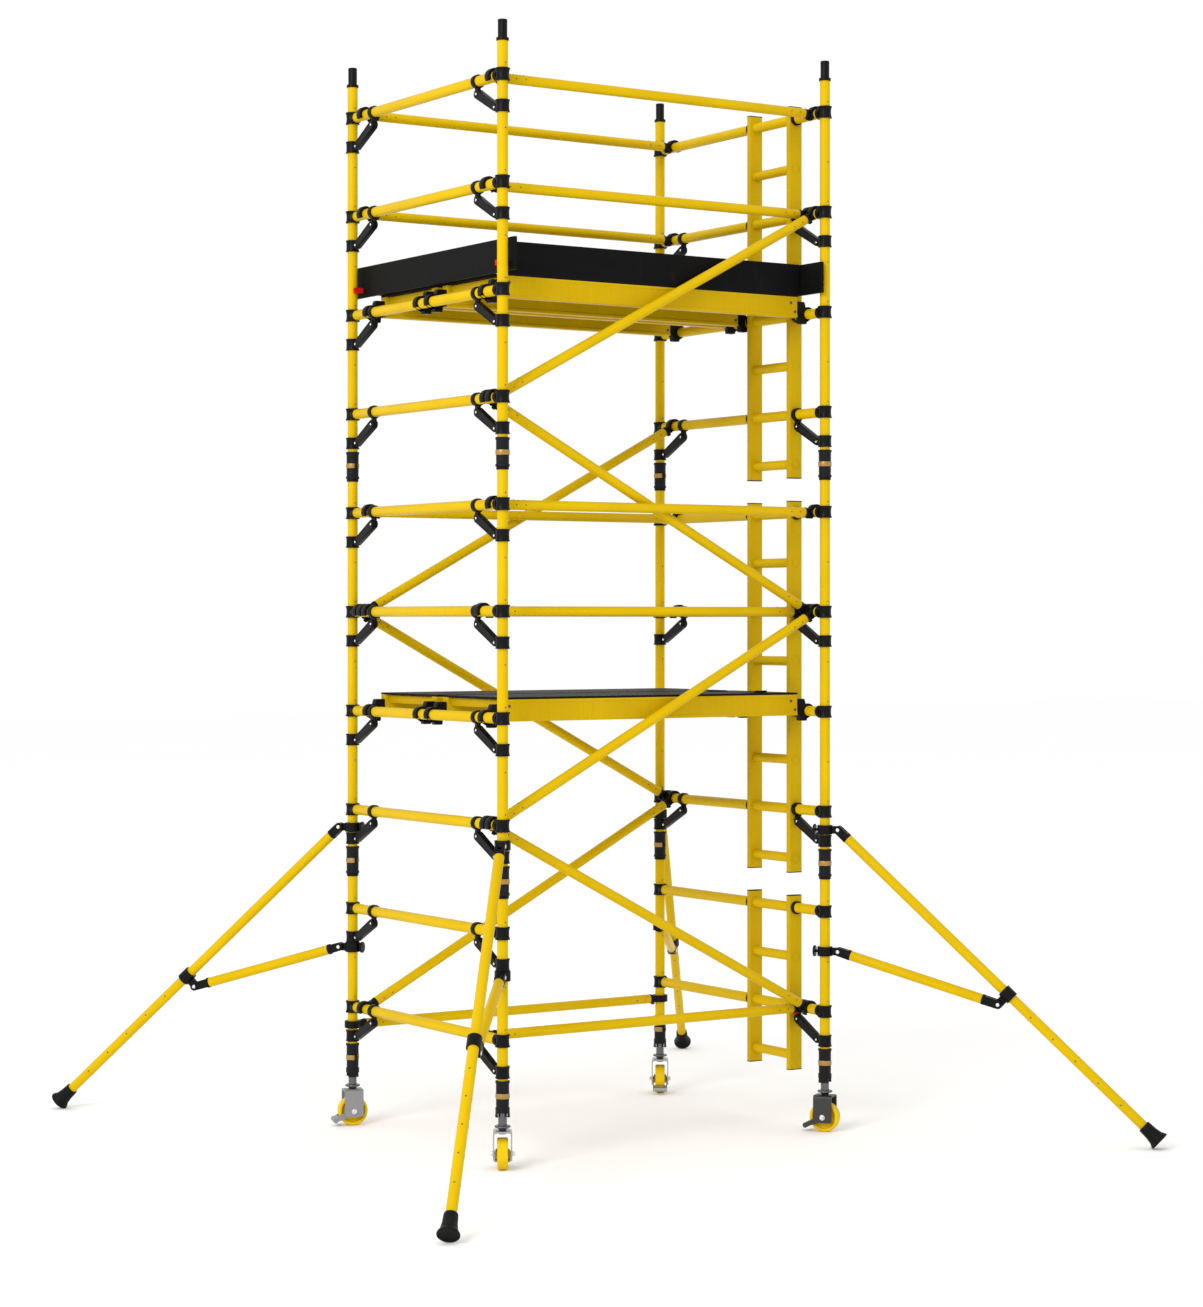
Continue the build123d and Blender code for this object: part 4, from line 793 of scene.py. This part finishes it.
build("brace_claws_moulded", claw_parts, black_nylon, replaces=["brace_claws"])
trigger_line = [(-9, -6), (9, -7), (12, 0), (10, 6.4), (-9, 6.4)]
trigger = slab(rounded(trigger_line, 4, 3, closed=True), soft_rows(12, 2))
red_claw = claw_place(1, -(post_y - slots[2]), level_height(1))
red_spot = (red_claw @ trigger_spot)[:3, 3]
is_red = [np.allclose(place[:3, 3], red_spot) for place in trigger_places]
black_places = [place for place, red in zip(trigger_places, is_red) if not red]
red_places = [place for place, red in zip(trigger_places, is_red) if red]
red_places += [place @ trigger_spot for place in post_claws]
build("brace_triggers", [(trigger, black_places)], black_nylon,
      replaces=["claw_triggers"])
build("red_triggers", [(trigger, red_places)], red_nylon)

# %% [markdown]
# ## Platforms
#
# A platform is a pair of deep side beams with cross members between them, a film-faced deck on top, and
# a hook at each corner that drops over an end rung. The beam's section has a lip top and bottom and a
# web set in between them. The deck and its trapdoor stay as the CAD made them, with a better finish.

# %% Beams, cross members, bolts and hooks
beam_half = 1000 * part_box("platform_beams")[1].x
beam_top, beam_side, beam_rise = 52.5, 255.0, 31.5
cross_length, cross_rise = 459.0, 62.0
web_face = 22.4
bolt_spots = [(14, 8), (40, 52)]  # inset from the beam's end, height above the rung
deck_levels = (4, 8)
platform_middles = (-326.0, 292.0)
beam_line = [(-25, -beam_top), (25, -beam_top), (25, -39), (22.6, -36), (22.6, 36), (25, 39), (25, beam_top),
             (-25, beam_top), (-25, 39), (-22.6, 36), (-22.6, -36), (-25, -39)]
beam = slab(rounded(beam_line, 2.2, 2, closed=True), soft_rows(2 * beam_half, 1.2))
cross_line = [(-20, -20), (20, -20), (20, 20), (-20, 20)]
cross = slab(rounded(cross_line, 3, 3, closed=True), soft_rows(cross_length, 1))
hook_line = np.concatenate([
    arc(0, 0, 38, 205, 62, 14),
    [(21, 50), (27, 62), (72, 62), (75, 58), (75, -12), (54, -24), (52, -46), (46, -49), (13, -49),
     (10, -45)],
    arc(0, 0, 26.2, -67, 180, 22), arc(-32, -14, 5.8, 0, -150, 5)])
hook = slab(hook_line, soft_rows(36, 3.0, rim=2.5, sunk=1.2))
beam_places, cross_places, hook_places, bolt_places = [], [], [], []
bolt = turned(np.concatenate([[(7.5, -2)], rounded([(7.5, 0), (7.5, 1.6), (5, 3.4), (1, 3.8)], 1, 2)]), 14)
for level in deck_levels:
    z = level_height(level)
    for middle in platform_middles:
        for side in (-1, 1):
            y = middle + side * beam_side
            beam_places.append(shift(0, y, z + beam_rise) @ lay_out)
            hook_places += [claw_place(-1, y, z), claw_place(1, y, z)]
            for inset, up in bolt_spots:
                for x in (inset - beam_half, beam_half - inset):
                    for face in (-1, 1):
                        spot = shift(x, y + face * web_face, z + up)
                        bolt_places.append(spot @ turn("x", -90 * face))
        crosses = [-beam_half + 40, -beam_half / 3, beam_half - 40] + ([beam_half / 3] if middle > 0 else [])
        cross_places += [shift(x, middle, z + cross_rise) for x in crosses]
build("platform_side_beams", [(beam, beam_places)], yellow_profile,
      replaces=["platform_beams"])
build("platform_cross_members", [(cross, cross_places)], yellow_profile)
build("platform_hooks_moulded", [(hook, hook_places)], black_nylon,
      replaces=["platform_hooks"])
build("beam_bolts", [(bolt, bolt_places)], dark_steel_and_hole_shade)
for node, finish in (("platform_decks", deck_film), ("upper_trapdoor", deck_film),
                     ("lower_trapdoor", deck_film), ("toe_boards", toe_black),
                     ("toe_board_clips", red_nylon)):
    finish_cad(node, finish)

# %% [markdown]
# ## Castors
#
# Each castor hangs from a threaded leg in the post. The leg, its nut, the fork and the brake pedal are
# close enough in the CAD to stay, with steel finishes. The wheel is turned again in two finishes, because
# a polyurethane tread wears and dirties while its hub doesn't.

# %% Wheels and the finishes of the castors
tyre_half = [(56, 12.5), (58, 22), (62, 25), (70.5, 25), (74, 22), (75, 15), (75, 0)]
tyre_line = np.array(tyre_half + [(r, -w) for r, w in tyre_half[-2::-1]])
tyre = turned(rounded(tyre_line, 2.0, 2, closed=True), 56, loop=True)
centre_half = [(7, 33), (20, 33), (23, 30), (24.5, 12), (30, 8), (50, 8), (55, 12), (57, 13)]
centre_line = np.array(centre_half + [(r, -w) for r, w in centre_half[::-1]])
centre = turned(rounded(centre_line, 1.5, 2, closed=True), 44, loop=True)
pin = turned([(7, -58), (7, 58)], 20)
nut_line = arc(0, 0, 11, 0, 300, 5)
hex_nut = slab(nut_line, soft_rows(9.5, 1.2))
washer = turned(rounded([(7, -1.2), (14, -1.2), (14, 1.2), (7, 1.2)], 0.6, 1, closed=True), 24, loop=True)
axle_height = 75.0
fork_finish = {"front_left": zinc_steel, "front_right": dark_paint,
               "back_left": pale_paint, "back_right": zinc_steel}
for corner, (sx, sy, heading) in corners.items():
    castor = shift(sx * post_x, sy * post_y) @ turn("z", heading)
    axle = castor @ shift(z=axle_height)
    wheel = f"{corner}_wheel"
    build(f"{corner}_tyre", [(tyre, [axle @ lay])], yellow_tread, wheel,
          [f"{corner}_castor_wheel"])
    build(f"{corner}_wheel_centre", [(centre, [axle @ lay])], yellow_tread, wheel)
    ends = [axle @ shift(y=side * 52) for side in (-1, 1)]
    washers = [axle @ shift(y=side * 46.6) @ lay for side in (-1, 1)]
    build(f"{corner}_axle", [(pin, [axle @ lay]), (hex_nut, ends), (washer, washers)], bright_steel, wheel)
    finish_cad(f"{corner}_jack_leg", leg_steel)
    finish_cad(f"{corner}_jack_nut", grey_nylon)
    finish_cad(f"{corner}_castor_fork", fork_finish[corner])
    finish_cad(f"{corner}_brake_pedal", fork_finish[corner])

# %% [markdown]
# ## Stabilisers
#
# A stabiliser is a long tube clamped to the post near its top, with a rubber foot, and a strut from a
# lower clamp to a collar that slides on the tube. Its forked ends are cut from slabs: two cheeks beside
# the clamp's tongue and a block behind them, and the neck that plugs into the tube is turned.

# %% Stabiliser shapes
upper_z, lower_z, pivot_r = 1512.5, 903.5, 70.0
lean, heading_out = 47.2, 51.0
leg_length, strut_length, strut_lean = 2172.1, 838.65, 73.901
stay_r, tube_start, foot_cover = 24.5, 65.0, 63.0
outer_reach = 20.0  # the strut's outer fork is longer by this
block_at, outer_block_at, cheek_side = 47.0, 69.0, 15.8
stay_holes = range(1320, 1950, 150)
cheek_eye, cheek_rows = arc(0, 0, 21, 90, 270, 12), soft_rows(14.4, 2.0, rim=3, sunk=1.2)
cheek = slab(np.concatenate([cheek_eye, [(47, -22), (58, -22), (58, 22), (47, 22)]]), cheek_rows)
far_cheek = slab(np.concatenate([cheek_eye, [(67, -22), (78, -22), (78, 22), (67, 22)]]), cheek_rows)
block = box_slab(24, 45, 43, 4)
stay_neck = turned(rounded([(18, 50), (26.3, 51), (26.3, 63), (25, 65.2), (18, 65.2)], 1.4, 2), 32)
pin_line = [(9.6, 22.6), (9.6, 24.6), (7.5, 26.6), (1, 27)]
foot_line = [(25, -60), (25, -107), (31, -107), (32, -95), (33.5, -60), (39, -28), (46, -14), (50, -9),
             (50, -2), (48.5, 0), (40, 0), (38, -3), (12, -3), (1, -3)]
foot = turned(rounded(foot_line, 2.5, 2), 40)
# Each hole in a stabiliser leg is a thin dark disc on the tube's face: painted shade for the dark inside of
# the hole.
hole_shade_disc = turned([(4.2, -0.6), (4.2, 0.25), (3.4, 0.4)], 12)
lug_pin = turned(np.concatenate([[(9.6, 22.0)], rounded(pin_line, 1.2, 2)]), 20)

# %% Stabilisers at the four corners
for corner, (sx, sy, _) in corners.items():
    away = math.radians(heading_out)
    out = math.degrees(math.atan2(sy * math.sin(away), sx * math.cos(away)))
    side = shift(sx * post_x, sy * post_y) @ turn("z", out)
    down_leg = side @ shift(pivot_r, 0, upper_z) @ turn("y", 90 - lean)
    down_strut = side @ shift(pivot_r, 0, lower_z) @ turn("y", 90 - strut_lean)
    lay_x = turn("y", 90)
    cheeks = [shift(y=cheek_side), shift(y=-cheek_side)]
    leg_tube = tube(leg_length - tube_start - foot_cover, stay_r, 3, 40)
    build(f"{corner}_leg_tube", [(leg_tube, [down_leg @ shift(x=tube_start) @ lay_x])], yellow_tube,
          f"{corner}_outrigger", [f"{corner}_stabiliser_leg"])
    fitting = [(cheek, [down_leg @ place for place in cheeks]), (block, [down_leg @ shift(x=block_at)]),
               (stay_neck, [down_leg @ lay_x])]
    build(f"{corner}_leg_fork", fitting, black_nylon, f"{corner}_outrigger")
    build(f"{corner}_leg_foot", [(foot, [down_leg @ shift(x=leg_length) @ lay_x])], black_rubber,
          f"{corner}_outrigger")
    pins = [(lug_pin, [down_leg @ turn("x", tip) for tip in (90, -90)])]
    hole_shade_places = [down_leg @ shift(x=at) @ turn("x", tip) @ shift(z=stay_r) for at in stay_holes
             for tip in (0, 90, 180, 270)]
    build(f"{corner}_leg_pin", pins, bright_steel, f"{corner}_outrigger")
    # Dark discs of painted shade where the leg's holes are.
    build(f"{corner}_leg_hole_shade", [(hole_shade_disc, hole_shade_places)], dark_steel_and_hole_shade, f"{corner}_outrigger")
    strut_tube = tube(strut_length - 2 * tube_start - outer_reach, stay_r, 3, 40)
    build(f"{corner}_strut_tube", [(strut_tube, [down_strut @ shift(x=tube_start) @ lay_x])], yellow_tube,
          f"{corner}_strut", [f"{corner}_stabiliser_strut"])
    outer = down_strut @ shift(x=strut_length) @ turn("z", 180)
    fitting = [(cheek, [down_strut @ place for place in cheeks]), (block, [down_strut @ shift(x=block_at)]),
               (stay_neck, [down_strut @ lay_x, outer @ shift(x=outer_reach) @ lay_x]),
               (far_cheek, [outer @ place for place in cheeks]),
               (block, [outer @ shift(x=outer_block_at)])]
    build(f"{corner}_strut_forks", fitting, black_nylon, f"{corner}_strut")
    pins = [(lug_pin, [place @ turn("x", tip) for place in (down_strut, outer) for tip in (90, -90)])]
    build(f"{corner}_strut_pins", pins, bright_steel, f"{corner}_strut")
    finish_cad(f"{corner}_stabiliser_clamps", black_nylon)
    finish_cad(f"{corner}_stabiliser_collar", black_nylon)

# %% [markdown]
# ## Studio and camera
#
# The tower stands on a plain pale floor that carries on into a white sky. Most of the light comes from
# all round, as in a white tent, and one large soft light from the front left shapes the tubes. The
# camera looks level with its frame shifted, so the posts stay parallel as in an architect's view.

# %% Floor, light and camera
bpy.ops.mesh.primitive_plane_add(size=120)
floor = bpy.context.object
floor.name = "studio_floor"
material, tree, shader, vector = start_material("studio_floor")
tone = add_node(tree, "ShaderNodeTexNoise", Vector=vector, Scale=0.3, Detail=1.0)
floor_colour = mixed(tree, tone.outputs["Fac"], (0.985,) * 3, (0.995,) * 3)
tree.links.new(floor_colour, shader.inputs["Base Color"])
shader.inputs["Roughness"].default_value = 0.9
shader.inputs["Specular IOR Level"].default_value = 0.0
floor.data.materials.append(material)

world = bpy.data.worlds.new("white_tent")
world.use_nodes = True
world.node_tree.nodes["Background"].inputs["Color"].default_value = (1, 1, 1, 1)
world.node_tree.nodes["Background"].inputs["Strength"].default_value = 1.0
bpy.context.scene.world = world
bpy.context.scene.view_settings.view_transform = "Standard"


def soft_light(name, place, target, size, power):
    """A square area light at a place, aimed at a target."""
    data = bpy.data.lights.new(name, "AREA")
    data.size, data.energy = size, power
    lamp = bpy.data.objects.new(name, data)
    bpy.context.scene.collection.objects.link(lamp)
    way = np.asarray(target, float) - np.asarray(place, float)
    lamp.location = place
    tilt = math.atan2(math.hypot(way[0], way[1]), -way[2])
    lamp.rotation_euler = (tilt, 0, math.atan2(way[1], way[0]) - math.pi / 2)
    return lamp


soft_light("key_light", (-13.0, -6.5, 9.0), (0, 0, 2.4), 6.0, 1050)

camera_data = bpy.data.cameras.new("camera")
camera = bpy.data.objects.new("camera", camera_data)
bpy.context.scene.collection.objects.link(camera)
camera.location = (-8.1113, -12.5207, 2.5638)
camera.rotation_euler = (math.radians(90), 0, math.radians(-33.2126))
camera_data.sensor_fit = "VERTICAL"
camera_data.sensor_height = 36.0
camera_data.lens = 81.44
camera_data.shift_y = -0.0257
camera_data.dof.use_dof = False
bpy.context.scene.camera = camera
